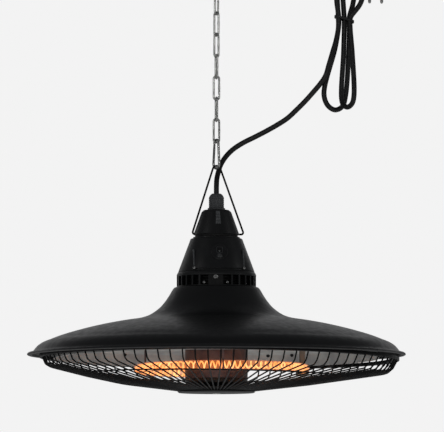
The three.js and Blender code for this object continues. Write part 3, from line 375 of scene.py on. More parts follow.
# %% Material helper
class Finish:
    """A Principled shader whose colour, roughness and relief come from noise in object space."""

    def __init__(self, name, metallic=0.0):
        self.material = bpy.data.materials.new(name)
        self.material.use_nodes = True
        self.tree = self.material.node_tree
        self.shader = self.tree.nodes["Principled BSDF"]
        self.shader.inputs["Metallic"].default_value = metallic
        self.place = self.node("ShaderNodeTexCoord").outputs["Object"]
        self.relief = None

    def node(self, kind, **values):
        made = self.tree.nodes.new(kind)
        for key, value in values.items():
            setattr(made, key, value)
        return made

    def link(self, output, node, socket):
        self.tree.links.new(output, node.inputs[socket])

    def noise(self, size, detail=3.0, stretch=(1, 1, 1)):
        mapping = self.node("ShaderNodeMapping")
        mapping.inputs["Scale"].default_value = [s / (size * MM) for s in stretch]
        self.link(self.place, mapping, "Vector")
        texture = self.node("ShaderNodeTexNoise")
        texture.inputs["Scale"].default_value = 1.0
        texture.inputs["Detail"].default_value = detail
        self.link(mapping.outputs["Vector"], texture, "Vector")
        return texture.outputs["Fac"]

    def spread(self, value, low, high, start=0.35, end=0.65):
        fit = self.node("ShaderNodeMapRange")
        for key, number in (("From Min", start), ("From Max", end), ("To Min", low), ("To Max", high)):
            fit.inputs[key].default_value = number
        self.link(value, fit, "Value")
        return fit.outputs["Result"]

    def blend(self, share, first, second):
        mix = self.node("ShaderNodeMix", data_type="RGBA")
        self.link(share, mix, "Factor")
        for socket, value in ((6, first), (7, second)):
            if isinstance(value, tuple):
                mix.inputs[socket].default_value = value
            else:
                self.tree.links.new(value, mix.inputs[socket])
        return mix.outputs[2]

    def tones(self, share, first, second):
        mixed = self.blend(share, first, second)
        self.link(mixed, self.shader, "Base Color")
        return mixed

    def roughness(self, value):
        self.link(value, self.shader, "Roughness")

    def bump(self, height, depth, strength=1.0):
        bump = self.node("ShaderNodeBump")
        bump.inputs["Strength"].default_value = strength
        bump.inputs["Distance"].default_value = depth * MM
        self.link(height, bump, "Height")
        if self.relief:
            self.link(self.relief, bump, "Normal")
        self.relief = bump.outputs["Normal"]
        self.link(self.relief, self.shader, "Normal")


print(Finish.__doc__)

# %% [markdown]
# The shade, guard and bail are sprayed black. The paint is smooth but not glossy, with a very fine
# orange-peel surface and faint differences in sheen, so the soft light makes broad highlights. The
# wires get less gloss than the shade, because a thin wire mirrors the whole room at once.

# %% Black paint
def black_paint(name, dark, light, low, high, grain=1.6, depth=0.012, gloss=0.5):
    finish = Finish(name)
    finish.tones(finish.spread(finish.noise(size=60, detail=4), 0, 1), dark, light)
    finish.roughness(finish.spread(finish.noise(size=9, detail=5), low, high))
    finish.bump(finish.noise(grain, detail=2), depth)
    finish.shader.inputs["Specular IOR Level"].default_value = gloss
    return finish.material


shade_paint = black_paint("shade_paint", colour(13, 14, 16), colour(18, 19, 21), 0.34, 0.44)
wire_paint = black_paint("wire_paint", colour(8, 8, 9), colour(15, 15, 16), 0.4, 0.55,
                         grain=0.8, depth=0.02, gloss=0.2)
print("paints:", shade_paint.name, wire_paint.name)

# %% [markdown]
# The neck is moulded in black plastic. A mould is eroded to a fine matt texture, which scatters
# light more than the paint does. The controls and the gland are a greyer nylon. The cord's rubber
# has the same make-up with a coarser grain, so one function makes them all.

# %% Moulded plastic and rubber
SHEEN_SPREAD = 0.06


def moulded(name, dark, light, rough, grain=0.7, depth=0.02):
    finish = Finish(name)
    finish.tones(finish.spread(finish.noise(size=22, detail=4), 0, 1), dark, light)
    sheen = finish.noise(size=5, detail=3)
    finish.roughness(finish.spread(sheen, rough - SHEEN_SPREAD, rough + SHEEN_SPREAD))
    finish.bump(finish.noise(grain, detail=4), depth)
    return finish.material


neck_plastic = moulded("neck_plastic", colour(18, 19, 20), colour(25, 26, 27), 0.4)
panel_plastic = moulded("panel_plastic", colour(23, 24, 25), colour(30, 31, 33), 0.36, 0.5, 0.012)
# Dark plastic: the real colour of the window, and painted shade in the seam under the cap and in the
# screws' crosses.
dark_plastic_and_painted_shade = moulded("dark_plastic_and_painted_shade", colour(8, 8, 9), colour(12, 12, 13), 0.6)
gland_nylon = moulded("gland_nylon", colour(74, 76, 78), colour(88, 90, 92), 0.45, 0.6, 0.02)
# Light grey nylon: the latch's own colour, and on the panel ribs partly painted highlight.
rib_nylon_and_highlight = moulded("rib_nylon_and_highlight", colour(92, 94, 96), colour(112, 114, 116), 0.4, 0.6, 0.02)
cord_jacket = moulded("cord_jacket", colour(15, 15, 16), colour(23, 23, 24), 0.54, 1.1, 0.04)
plug_rubber = moulded("plug_rubber", colour(22, 22, 24), colour(30, 30, 32), 0.55)
print("plastics:", neck_plastic.name, panel_plastic.name, gland_nylon.name, cord_jacket.name)

# %% [markdown]
# Chain and hooks are zinc-plated wire: pale grey, with cloudy patches and tiny scratches along the
# metal. The scratches are noise stretched upwards, the way most of the wire runs. An anisotropic
# shader would streak the light as well, but it has no patches. Screws are brighter, and the hooks'
# gates are a darker spring steel.

# %% Bare metals
SCRATCH_STRETCH = (1, 1, 0.08)


def bare_metal(name, dark, light, low, high, patch=7, scratch=0.5, depth=0.01):
    finish = Finish(name, 1.0)
    finish.tones(finish.spread(finish.noise(patch, detail=5), 0, 1, 0.3, 0.7), dark, light)
    finish.roughness(finish.spread(finish.noise(patch / 2, detail=4), low, high))
    finish.bump(finish.noise(scratch, 2, SCRATCH_STRETCH), depth)
    return finish.material


zinc = bare_metal("zinc", colour(150, 151, 150), colour(214, 214, 210), 0.26, 0.4, 7, 1.2, 0.004)
screw_steel = bare_metal("screw_steel", colour(170, 170, 168), colour(205, 205, 202), 0.22, 0.36, 3)
gate_steel = bare_metal("gate_steel", colour(96, 97, 98), colour(140, 141, 140), 0.28, 0.42, 4)
print("metals:", zinc.name, screw_steel.name, gate_steel.name)

# %% [markdown]
# The reflector is rolled aluminium that the heat has dulled, so it is less of a mirror than the
# other metals. Its sheet is wavy on two scales, and two bumps on top of each other give that. The
# drum in its middle is dark sheet with a reddish cast, and the lamp's holders are ceramic.

# %% Reflector, hub and ceramic
def reflector_sheet():
    finish = Finish("reflector_sheet", 0.3)
    share = finish.spread(finish.noise(size=26, detail=6), 0, 1)
    finish.tones(share, colour(200, 200, 199), colour(232, 231, 227))
    finish.roughness(finish.spread(finish.noise(size=4, detail=4), 0.34, 0.55))
    finish.bump(finish.noise(size=3.2, detail=3), depth=0.12)
    finish.bump(finish.noise(size=22, detail=2), depth=0.5)
    return finish.material


dull_aluminium = reflector_sheet()
hub_sheet = bare_metal("hub_sheet", colour(104, 88, 88), colour(132, 114, 112), 0.4, 0.55, 12)
ceramic = moulded("ceramic", colour(116, 112, 105), colour(148, 144, 135), 0.7, 0.8, 0.03)
print("sheets:", dull_aluminium.name, hub_sheet.name, ceramic.name)

# %% [markdown]
# The lamp is a clear quartz ring round a heated winding. The winding gives its own light, a warm orange
# that is paler where the turns are hottest. The glass lets it through and is given a faint glow of its own.
# That glow is painted light for the winding's light scattered in the quartz, because in the photograph the
# whole tube looks lit and not only the wire in it.

# %% Glowing wire and quartz
WIRE_GLOW = 1.25
QUARTZ_PAINTED_GLOW = 0.13
QUARTZ_BENDING = 1.2


def glowing(name, cool, hot, strength):
    finish = Finish(name)
    share = finish.spread(finish.noise(size=16, detail=3), 0, 1)
    mixed = finish.tones(share, cool, hot)
    finish.link(mixed, finish.shader, "Emission Color")
    finish.shader.inputs["Emission Strength"].default_value = strength
    finish.roughness(finish.spread(finish.noise(size=1, detail=2), 0.5, 0.7))
    return finish.material


def quartz():
    finish = Finish("quartz")
    share = finish.spread(finish.noise(size=30, detail=3), 0, 1)
    finish.tones(share, colour(255, 226, 200), colour(255, 240, 224))
    finish.roughness(finish.spread(finish.noise(size=8, detail=3), 0.02, 0.08))
    finish.shader.inputs["Transmission Weight"].default_value = 1.0
    finish.shader.inputs["IOR"].default_value = QUARTZ_BENDING
    # The glass's own emission is painted glow, for the winding's light scattered in the quartz.
    finish.shader.inputs["Emission Color"].default_value = colour(222, 124, 66)
    finish.shader.inputs["Emission Strength"].default_value = QUARTZ_PAINTED_GLOW
    return finish.material


hot_wire = glowing("hot_wire", colour(240, 162, 98), colour(255, 214, 156), WIRE_GLOW)
quartz_glass = quartz()
print("lamp:", hot_wire.name, quartz_glass.name)

# %% [markdown]
# ## The supply cord
# The cord is a fixed length of 8 mm cable. It leaves the gland straight up, bends behind the snap
# hook and rises to the right in a slack curve. The spare length is folded into a hank that hangs on
# a hook of its own. The CAD holds the same route, so its points are repeated here, and the folds
# of the hank come from their middle, radius and turn. A simulated rope would hang by itself, but it
# wouldn't hang as the one in the photograph does.

# %% Cord route
CORD = 8
LEAD_ROUTE = [
    (0, 0, 247.7), (0, 0, 258), (1.1, 4.9, 270.6), (4.1, 12.7, 281.6), (8.9, 22.3, 294.4),
    (18.2, 30.4, 308.6), (30.1, 34.3, 320.3), (45.5, 34.3, 330.3), (62.1, 31.7, 338.6),
    (78.6, 26.6, 347), (94.9, 20, 356), (111.2, 13.4, 366.4), (125.9, 7, 380),
    (139.2, 0.7, 393.6), (151, -4.5, 407.1), (159.8, -9.4, 417.8),
]
HANK_CENTRE = Vector((199, 1, 516))
HANK_STRANDS = [
    [(-31.3, -14.6, -86), (-25.3, -13.4, -67), (-19.4, -11, -48),
     (-13.6, -8, -29), (-9.2, -4.5, -6), (-9.2, -4.5, 8), (-12.5, -8, 30)],
    [(-9.6, 6.5, 30), (-8.6, 4.5, 6), (-8.6, 4.5, -8), (-14, 2.2, -40)],
    [(8.3, 9, -40), (8.6, 4.5, -6), (8.6, 4.5, 8), (14.6, 6.5, 30)],
    [(-1.6, -1, 30), (0, 0, 6), (0, 0, -8), (-1, 2.5, -50)],
    [(11, -10.5, -50), (8.6, -4.5, -8), (9, -4.5, 6), (25, -8, 30)],
]
HANK_FOLDS = [
    ((-14, 0, 91), 17, 80, 1),
    ((-14, 8, -112), 24, 38.5, -1),
    ((8, 0, 91), 17, 215, 1),
    ((4.3, -6, -117), 16, -60.4, -1),
    ((44, 2, 91), 17, 63.4, 1),
]


FOLD_STEPS = 4


def fold(middle, radius, turn, up):
    places = []
    for k in range(FOLD_STEPS + 1):
        angle = math.pi * k / FOLD_STEPS
        across = -radius * math.cos(angle)
        offset = Vector((
            across * math.cos(math.radians(turn)),
            across * math.sin(math.radians(turn)),
            up * radius * math.sin(angle),
        ))
        places.append(Vector(middle) + offset)
    return places


def cord_places():
    places = [Vector(p) for p in LEAD_ROUTE]
    for strand, shape in zip(HANK_STRANDS, HANK_FOLDS):
        places += [HANK_CENTRE + Vector(p) for p in strand]
        places += [HANK_CENTRE + p for p in fold(*shape)]
    places.append(places[-1] - Vector((0, 0, CORD)))
    return places


print("cord places:", len(cord_places()))

# %% [markdown]
# A cable has no corners, so a smooth line is drawn through those places. A centripetal spline is
# the right one here: it never loops back on itself where two places are close together.

# %% Smooth line
def smooth_line(places, per_span=12):
    before = places[0] * 2 - places[1]
    after = places[-1] * 2 - places[-2]
    row = [before, *places, after]
    line = []
    for a, b, c, d in zip(row, row[1:], row[2:], row[3:]):
        first, middle, last = (max((q - p).length, 1e-4) ** 0.5 for p, q in ((a, b), (b, c), (c, d)))
        leave = ((b - a) / first - (c - a) / (first + middle) + (c - b) / middle) * middle
        arrive = ((c - b) / middle - (d - b) / (middle + last) + (d - c) / last) * middle
        for k in range(per_span):
            t = k / per_span
            bend = (c - b) * 3 - leave * 2 - arrive
            twist = (b - c) * 2 + leave + arrive
            line.append(b + leave * t + bend * t * t + twist * t * t * t)
    line.append(places[-1])
    return line


def length_of(line):
    return sum((b - a).length for a, b in zip(line, line[1:]))


cord_line = smooth_line(cord_places())

# %% [markdown]
# At the end of the cord is its plug: a ribbed grip, a round face and two pins. The real grip is
# moulded on in one shot of rubber, so here it is one turned outline, and a loop cuts the ribs that
# let the cord bend. The pins are two short straight wires with rounded ends.

# %% Plug
PLUG_LENGTH = 32
PLUG_WIDTH = 34
PLUG_WAIST = [(10.8, -13, 4), (9.6, -9), (7.2, -5, 2)]
PIN_SPACING = 19
PIN_THICKNESS = 4.8
PIN_REACH = 16
GRIP_RIBS = 4
GRIP_PITCH = 1.25
GRIP_RADIUS = 6.4
GRIP_GROOVE = 1


def plug_grip():
    half = PLUG_WIDTH / 2
    outline = [(0, -PLUG_LENGTH), (half - 1, -PLUG_LENGTH, 1), (half, -PLUG_LENGTH + 1, 0.5)]
    outline += [(half, -17.5, 2), *PLUG_WAIST]
    for i in range(GRIP_RIBS):
        low = i * GRIP_PITCH - GRIP_RIBS * GRIP_PITCH
        deep = GRIP_RADIUS - GRIP_GROOVE
        outline += [(GRIP_RADIUS, low, 0.2), (GRIP_RADIUS, low + 0.7, 0.2)]
        outline += [(deep, low + 0.75), (deep, low + 1.2)]
    outline.append((0, 0))
    return turned(outline, 48, False)


def plug_pins():
    heights = (-PLUG_LENGTH - PIN_REACH, -PLUG_LENGTH + 1)
    return joined(*(
        wire([(side * PIN_SPACING / 2, 0, z) for z in heights], PIN_THICKNESS / 2, 16)
        for side in (-1, 1)
    ))


print("plug:", PLUG_WIDTH, "mm wide,", PLUG_LENGTH + PIN_REACH, "mm long with its pins")

# %% [markdown]
# The strap is a thin band wound once round the five strands where they lie closest. Its line is a
# rounded rectangle that leans a little, because nobody ties a hank quite level. A band is made like
# a wire, with a flat section in place of a round one.

# %% Strap
STRAP_STEPS = 60
STRAP_HALF_WIDTH = 14.4
STRAP_HALF_DEPTH = 10.3
STRAP_CORNER = 7
STRAP_LEAN = 0.29
STRAP_RISE = 4.5
STRAP_HEIGHT = 3.6
STRAP_THICKNESS = 1.1


def strap_line():
    line = []
    for i in range(STRAP_STEPS):
        angle = math.tau * i / STRAP_STEPS
        across, deep = math.cos(angle), math.sin(angle)
        x = math.copysign(STRAP_HALF_WIDTH - STRAP_CORNER, across) + STRAP_CORNER * across
        y = math.copysign(STRAP_HALF_DEPTH - STRAP_CORNER, deep) + STRAP_CORNER * deep
        line.append(HANK_CENTRE + Vector((x, y, STRAP_RISE - x * STRAP_LEAN)))
    return line


def band(line, height, thickness):
    section = [(height, thickness), (-height, thickness), (-height, -thickness), (height, -thickness)]
    points = []
    up = Vector((0, 0, 1))
    for place, (_, _, along) in zip(line, carried(line, True)):
        out = along.cross(up).normalized()
        points += [place + up * rise / 2 + out * reach / 2 for rise, reach in section]
    return points, bridge(len(line), len(section), True)


print("strap round", round(length_of(strap_line())), "mm of strands")

# The tube replaces the CAD's lead and hank. The hook that carries the hank has the right shape in
# the CAD already, so it only gets its finish.

# %% Cord
PLUG_GAP = 0.3
CORD_SIDES = 16


def wear(name, finish):
    nodes[name].data.materials.clear()
    nodes[name].data.materials.append(finish)


def make_cord():
    at_end = Matrix.Translation(cord_line[-1] - Vector((0, 0, PLUG_GAP)))
    plug = piece("plug_grip", moved(plug_grip(), at_end), plug_rubber, "heater", ["plug"])
    blades = piece("plug_pins", moved(plug_pins(), at_end), screw_steel, "heater")
    strap = piece("cord_strap", band(strap_line(), STRAP_HEIGHT, STRAP_THICKNESS), plug_rubber, "heater",
                  ["cord_tie"])
    cord = piece("supply_cord", wire(cord_line, CORD / 2, CORD_SIDES, ends="flat"), cord_jacket,
                 "heater", ["cord_lead", "cord_hank"])


make_cord()
wear("cord_hook", gate_steel)

# %% [markdown]
# ## Chain
# The links are long loops of welded wire. Each hangs in the one above and is turned against it, as
# a chain turns when it is let down. The weld is a slight swelling in the middle of one side. A
# stretched torus would give a link too, but its wire would be thicker at the ends. So a wire is
# bent round two half circles, and a few of its points are pushed out for the weld.

# %% Link shape
LINK_WIRE = 3.2
LINK_WIDTH = 11.8
CROWN_STEPS = 14
SIDE_STEPS = 8
WELD_SWELL = 0.16
WELD_REACH = 1.6


def link_line(reach, crown):
    line = []
    for side, height in ((1, reach - crown), (-1, crown)):
        for k in range(CROWN_STEPS + 1):
            angle = math.pi * k / CROWN_STEPS
            line.append((side * crown * math.cos(angle), 0, height + side * crown * math.sin(angle)))
        for k in range(1, SIDE_STEPS):
            share = k / SIDE_STEPS
            rise = (reach - 2 * crown) * (1 - share if side > 0 else share)
            line.append((-side * crown, 0, crown + rise))
    return line


def link_shape(reach):
    crown = (LINK_WIDTH - LINK_WIRE) / 2
    points, faces = wire(link_line(reach, crown), LINK_WIRE / 2, 12, True)
    swollen = []
    for point in points:
        if point.x > 0:
            swell = WELD_SWELL * math.exp(-((point.z - reach / 2) / WELD_REACH) ** 2)
            centre = Vector((crown, 0, point.z))
            point = centre + (point - centre) * (1 + swell)
        swollen.append(point)
    return swollen, faces


print("link:", LINK_WIDTH, "mm wide, of", LINK_WIRE, "mm wire")

# %% [markdown]
# An array modifier could repeat one link, but here each hangs at its own height and is turned its
# own way. The CAD says how high each one hangs and how long it is, and the turns about the axis are
# repeated here.

# %% Chain
LINK_TURNS = [-17, 49.5, -47.5, 36.5, -77.5, 6.5, -80.5, 6.5]


def hung_where(node, thickness, turn):
    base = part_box(node)[0].z + thickness / 2 * MM
    return (Matrix.Translation((0, 0, base)) @ Matrix.Scale(MM, 4)
            @ Matrix.Rotation(math.radians(turn), 4, "Z"))


def make_chain():
    for i, turn in enumerate(LINK_TURNS):
        name = f"chain_link_{i + 1}"
        low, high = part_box(name)
        reach = (high.z - low.z) / MM - LINK_WIRE
        piece(f"link_{i + 1}_wire", link_shape(reach), zinc, f"link_{i + 1}", [name],
              hung_where(name, LINK_WIRE, turn))


make_chain()
print("links:", len(LINK_TURNS))

# %% [markdown]
# ## Snap hooks
# A snap hook is one bent wire with a gap, which a sprung gate closes. The gate turns on a pin
# through a flattened tongue and its tip rests in a notch at the nose. The wire is given by its
# corners and bending radii, as it would be set up on a bending machine. Both hooks are the same, so
# one function draws them and each is put where its CAD frame hangs.

# %% Hook frame
HOOK_WIRE = 4
HOOK_REACH = 44
HOOK_HALF_LOW = 8
HOOK_HALF_HIGH = 5
HOOK_PIVOT = Vector((-5.6, 0, 35.6))
HOOK_NOSE = Vector((-HOOK_HALF_LOW, 0, 10))
HOOK_BENDS = [7.36, 7.36, 4.6, 4.6]
HOOK_END = (-5.6, 0, 38.9)
TONGUE = ((-7, -0.6, 33.9), (-4.2, 0.6, 40.2))


def hook_frame_shape():
    corners = [HOOK_NOSE, (-HOOK_HALF_LOW, 0, 0), (HOOK_HALF_LOW, 0, 0), (HOOK_HALF_HIGH, 0, HOOK_REACH),
               (-HOOK_HALF_HIGH, 0, HOOK_REACH), HOOK_END]
    return joined(wire(bent(corners, HOOK_BENDS, 10), HOOK_WIRE / 2, 16), plain_box(*TONGUE))


print("hook frame:", HOOK_REACH + HOOK_WIRE, "mm high")

# %% [markdown]
# The gate is a straight rod, a little thinner than the frame. Its lower end is turned down to sit
# in the nose, and two thin cheeks at its upper end hold the tongue of the frame between them. Rod,
# tip, cheeks and pin are all short wires, so they need no new helper.

# %% Hook gate
GATE_GAP = 0.3
CHEEK_OUT = 1.35
CHEEK_WIRE = 0.5
RIVET_HALF = 1.7
RIVET_RADIUS = 0.55


def gate_shape():
    half = (HOOK_WIRE - GATE_GAP) / 2
    along = (HOOK_NOSE - HOOK_PIVOT).normalized()
    cheeks = []
    for side in (-1, 1):
        start = HOOK_PIVOT + Vector((0, side * CHEEK_OUT, 0))
        cheeks.append(wire([start - along * 1.2, start + along * 3.4], CHEEK_WIRE, 8))
    rod = wire([HOOK_PIVOT + along * 2.9, HOOK_NOSE - along * 1.6], half, 16)
    tip = wire([HOOK_NOSE - along * 2.2, HOOK_NOSE - along * 0.9], half * 0.7, 16)
    return joined(rod, tip, *cheeks)


def make_hook(prefix, gate_body, turn):
    at = hung_where(f"{prefix}_frame", HOOK_WIRE, turn)
    piece(f"{prefix}_wire", hook_frame_shape(), zinc, prefix, [f"{prefix}_frame"], at)
    piece(f"{prefix}_latch", gate_shape(), gate_steel, gate_body, [f"{prefix}_gate"], at)
    rivet = wire([HOOK_PIVOT + Vector((0, y, 0)) for y in (-RIVET_HALF, RIVET_HALF)], RIVET_RADIUS, 12)
    piece(f"{prefix}_rivet", rivet, screw_steel, prefix, [f"{prefix}_pin"], at)


make_hook("ceiling_hook", "ceiling_gate", 90)
make_hook("snap_hook", "snap_gate", -61.5)
print("two snap hooks made")

# %% [markdown]
# ## Bail
# The heater hangs in a bail of 3 mm wire. It is bent to a narrow point at the top, and its two ends
# turn inwards through holes in the neck's cap. It has some play there, and in the photograph it has
# slid a little to the right. The slip fades to nothing at the top, where the hook holds it. Moving
# the whole bail would take its top out of the hook.

# %% Bail
BAIL_WIRE = 3
BAIL_END = 30
BAIL_HEIGHT = 184.7
BAIL_SPREAD = 80.2
BAIL_RISE = 118.5
BAIL_BENDS = [3, 6, 3]
BAIL_SLIP = 2.4


def make_bail():
    half = BAIL_SPREAD / 2
    corners = [
        (-BAIL_END, 0, BAIL_HEIGHT), (-half, 0, BAIL_HEIGHT), (0, 0, BAIL_HEIGHT + BAIL_RISE),
        (half, 0, BAIL_HEIGHT), (BAIL_END, 0, BAIL_HEIGHT),
    ]
    line = []
    for place in bent(corners, BAIL_BENDS, 10):
        raised = (place.z - BAIL_HEIGHT) / BAIL_RISE
        line.append(place + Vector((BAIL_SLIP * (1 - raised), 0, 0)))
    piece("bail_wire", wire(line, BAIL_WIRE / 2, 14), wire_paint, "bail", ["hanging_bail"])


make_bail()
print("bail:", BAIL_SPREAD, "mm wide,", BAIL_RISE, "mm high")

# %% [markdown]
# ## Neck
# The neck is three mouldings on top of each other. A ring with upright windows lets the heat out,
# a cone carries the controls, and a cap closes it and takes the bail and the cord. Their walls are
# thin, so each outline runs up the outside and down the inside, as a section on a drawing does.

# %% Neck heights
VENT_BASE = 102.9
VENT_TOP = 126.1
VENT_RADIUS = 61
CONE_BASE = 126.4
CONE_HEIGHT = 53.6
CONE_LOW = 58.7
CONE_HIGH = 38.7
CAP_BASE = 180.3
CAP_TOP = 221.8
CAP_LOW = 36.5
CAP_HIGH = 23
CAP_SHOULDER = 3.4
WALL = 2.5


def cone_radius(height):
    share = (height - CONE_BASE) / CONE_HEIGHT
    return CONE_LOW + (CONE_HIGH - CONE_LOW) * share


def cap_radius(height):
    share = (height - CAP_BASE) / (CAP_TOP - CAP_SHOULDER - CAP_BASE)
    return CAP_LOW + (CAP_HIGH - CAP_LOW) * share


print("neck from", VENT_BASE, "to", CAP_TOP, "mm above the rim plane")

# %% [markdown]
# The cap and the cone meet in a seam. It reads as a black line, because it is deep and no light gets in. So
# the cap ends a little above the cone, and a foot stands back under it in darker plastic. That darker
# plastic is painted shade for the deep seam. A dark line painted on one piece would stay flat when one
# looks at it from above.

# %% Cap
SKIRT = CAP_BASE + 3.4
SEAM_DEPTH = 2.4
CORD_HOLE = 10.4


def make_cap():
    edge = cap_radius(SKIRT)
    roof = CAP_TOP - WALL
    outline = [
        (edge - 4.6, SKIRT), (edge - 0.2, SKIRT, 0.15), (edge, SKIRT + 0.3, 0.15),
        (CAP_HIGH, CAP_TOP - CAP_SHOULDER, 4), (CAP_HIGH - CAP_SHOULDER, CAP_TOP, 2),
        (CORD_HOLE, CAP_TOP, 0.3), (CORD_HOLE, roof, 0.3), (CAP_HIGH - CAP_SHOULDER - 1, roof),
    ]
    piece("cap_moulding", turned(outline), neck_plastic, "heater", ["neck_cap"])
    back = edge - SEAM_DEPTH
    foot = [(edge - 6, CAP_BASE), (back, CAP_BASE, 0.2), (back, SKIRT + 0.4), (edge - 6, SKIRT + 0.4)]
    # The foot's darker plastic is painted shade for the deep seam.
    piece("cap_foot_painted_shade", turned(foot), dark_plastic_and_painted_shade, "heater")


make_cap()
print("seam under the cap:", round(SKIRT - CAP_BASE, 1), "mm high")

# %% [markdown]
# On the cap's front sits a small grey latch with four bars, which give a thumb some hold. A sector
# is a turned part that doesn't go all the way round, and that is the easiest way to lay a flat
# thing on a cone.

# %% Cap latch
LATCH_LOW = 198.5
LATCH_HIGH = 219
LATCH_HALF = math.radians(7.5)
BAR_HALF = math.radians(6.5)
BARS = 4
BAR_START = 1.6
BAR_PITCH = 4.8
BAR_HEIGHT = 2.2
BAR_OUT = 2.4


def make_latch():
    near, far = cap_radius(LATCH_LOW), cap_radius(LATCH_HIGH)
    tab = [(near - 1, LATCH_LOW), (near + 0.5, LATCH_LOW, 0.2), (far + 0.5, LATCH_HIGH, 0.2),
           (far - 1, LATCH_HIGH)]
    shapes = [sector(tab, -LATCH_HALF, LATCH_HALF, 6)]
    for i in range(BARS):
        low = LATCH_LOW + BAR_START + BAR_PITCH * i
        high = low + BAR_HEIGHT
        inner = cap_radius(low)
        outer = inner + BAR_OUT
        bar = [(inner, low), (outer, low, 0.2), (outer, high, 0.2), (inner, high)]
        shapes.append(sector(bar, -BAR_HALF, BAR_HALF, 5))
    piece("cap_latch", joined(*shapes), rib_nylon_and_highlight, "heater")


make_latch()
print("latch with", BARS, "bars")

# %% [markdown]
# The cone's upper edge is rounded over and steps back into the seam, as moulded edges that meet
# are. Its roof has a hole, because the wires of the cord go down through it. Blender's own cone has
# no wall and no hole, and in an outline they are only a few more places.

# %% Cone
CONE_LIP = 36
CONE_HOLE = 12.5


def make_cone():
    top = CONE_BASE + CONE_HEIGHT
    outline = [
        (CONE_LOW - WALL, CONE_BASE), (CONE_LOW, CONE_BASE, 0.8),
        (cone_radius(top - 2.6), top - 2.6, 1.4), (CONE_LIP, top - 1.8, 0.5), (CONE_LIP - 0.2, top, 0.15),
        (CONE_HOLE, top), (CONE_HOLE, top - WALL), (CONE_HIGH - WALL, top - WALL),
    ]
    piece("cone_moulding", turned(outline), neck_plastic, "heater", ["neck_cone"])


make_cone()
print("cone", CONE_HEIGHT, "mm high")

# %% [markdown]
# ## Front panel and controls
# The panel is a thin curved plate, screwed over the cone's front. It follows the cone, so it is a
# sector too. What sits on the cone has to stand square to its slope. It is drawn flat, and one
# helper tilts it into place.

# %% Panel
PANEL_LOW = 129.4
PANEL_HIGH = 160.4
PANEL_HALF = math.radians(43)
PANEL_GAP = 0.45
PANEL_THICKNESS = 1.4
CONE_SLOPE = math.atan2(CONE_LOW - CONE_HIGH, CONE_HEIGHT)


def on_cone(angle, height, lift=0):
    return (Matrix.Rotation(angle, 4, "Z") @ Matrix.Translation((0, -cone_radius(height), height))
            @ Matrix.Rotation(math.pi / 2 - CONE_SLOPE, 4, "X") @ Matrix.Translation((0, 0, lift)))


def make_panel():
    low, high = (cone_radius(height) + PANEL_GAP for height in (PANEL_LOW, PANEL_HIGH))
    outline = [
        (low, PANEL_LOW), (low + PANEL_THICKNESS, PANEL_LOW, 0.5),
        (high + PANEL_THICKNESS, PANEL_HIGH, 0.5), (high, PANEL_HIGH),
    ]
    piece("panel_plate", sector(outline, -PANEL_HALF, PANEL_HALF, 48), panel_plastic, "heater",
          ["front_panel"])


make_panel()
print("cone slope:", round(math.degrees(CONE_SLOPE), 1), "degrees")

# %% [markdown]
# Two upright ribs on the cone mark the sides of the panel. They stand at the same distance from the
# middle at every height, so on the widening cone they run from the front round towards the sides.
# A wire that is half sunk into the cone makes such a rib. Their light grey is partly their own colour and
# partly painted highlight, for the light that the panel's side edges catch.

# %% Panel ribs
RIB_APART = 37.6
RIB_LOW = 134
RIB_STEP = 3
RIB_PLACES = 9
RIB_RADIUS = 1.5
RIB_LIFT = 0.9


def make_ribs():
    for side, name in ((-1, "left"), (1, "right")):
        line = []
        for i in range(RIB_PLACES):
            height = RIB_LOW + RIB_STEP * i
            depth = math.sqrt((cone_radius(height) + RIB_LIFT) ** 2 - RIB_APART ** 2)
            line.append((side * RIB_APART, -depth, height))
        # The ribs' light grey is partly painted highlight along the panel's sides.
        piece(f"panel_rib_{name}", wire(line, RIB_RADIUS, 12), rib_nylon_and_highlight, "heater")


make_ribs()
print("ribs", 2 * RIB_APART, "mm apart")

# %% [markdown]
# The screws have low domed heads with a cross in them. A head is turned with a small dimple in its middle.
# The cross could be cut out, but at this size only its darkness shows. So it is two dark bars let into the
# head, which stand out of it by two hundredths of a millimetre. Their dark is painted shade for the recess
# of a cut cross.

# %% Screws
SHANK = 3
CROSS_DEPTH = 0.5
CROSS_PROUD = 0.02
CROSS_SHARE = 0.09
PANEL_SCREW_INSET = 3.4
PANEL_SCREW_LIFT = 2.15


def screw_head(radius, height):
    floor = height - CROSS_DEPTH
    return turned([
        (0.001, -SHANK), (radius * 0.5, -SHANK), (radius * 0.5, 0), (radius, 0, 0.15),
        (radius, height * 0.45, 0.5), (radius * 0.62, height, 0.3), (0.42, height, 0.05), (0.42, floor),
        (0.001, floor),
    ], 32, False)


def screw_cross(radius, height):
    long, thin = radius * 0.5, radius * CROSS_SHARE
    bar = plain_box((-long, -thin, height - CROSS_DEPTH), (long, thin, height + CROSS_PROUD))
    return joined(bar, moved(bar, Matrix.Rotation(math.pi / 2, 4, "Z")))


def make_screw(name, place, replaces, radius, height):
    piece(name, moved(screw_head(radius, height), place), screw_steel, "heater", replaces)
    # The cross's dark bars are painted shade for a recess.
    piece(f"{name}_cross", moved(screw_cross(radius, height), place), dark_plastic_and_painted_shade, "heater")


screw_angle = PANEL_HALF - PANEL_SCREW_INSET / cone_radius(PANEL_LOW)
for side, name in ((-1, "left"), (1, "right")):
    make_screw(f"screw_{name}", on_cone(side * screw_angle, PANEL_LOW, PANEL_SCREW_LIFT),
               [f"panel_screw_{name}"], 2.3, 1.4)
print("panel screws at", round(math.degrees(screw_angle), 1), "degrees")

# %% [markdown]
# In the middle of the panel is a round bezel with a dark window in it, which hides the receiver of
# the remote control, and a thin grey frame round the window. The pane is a rounded rectangle that
# gets slightly smaller towards the front. It is two rings of points with a bridge between them.

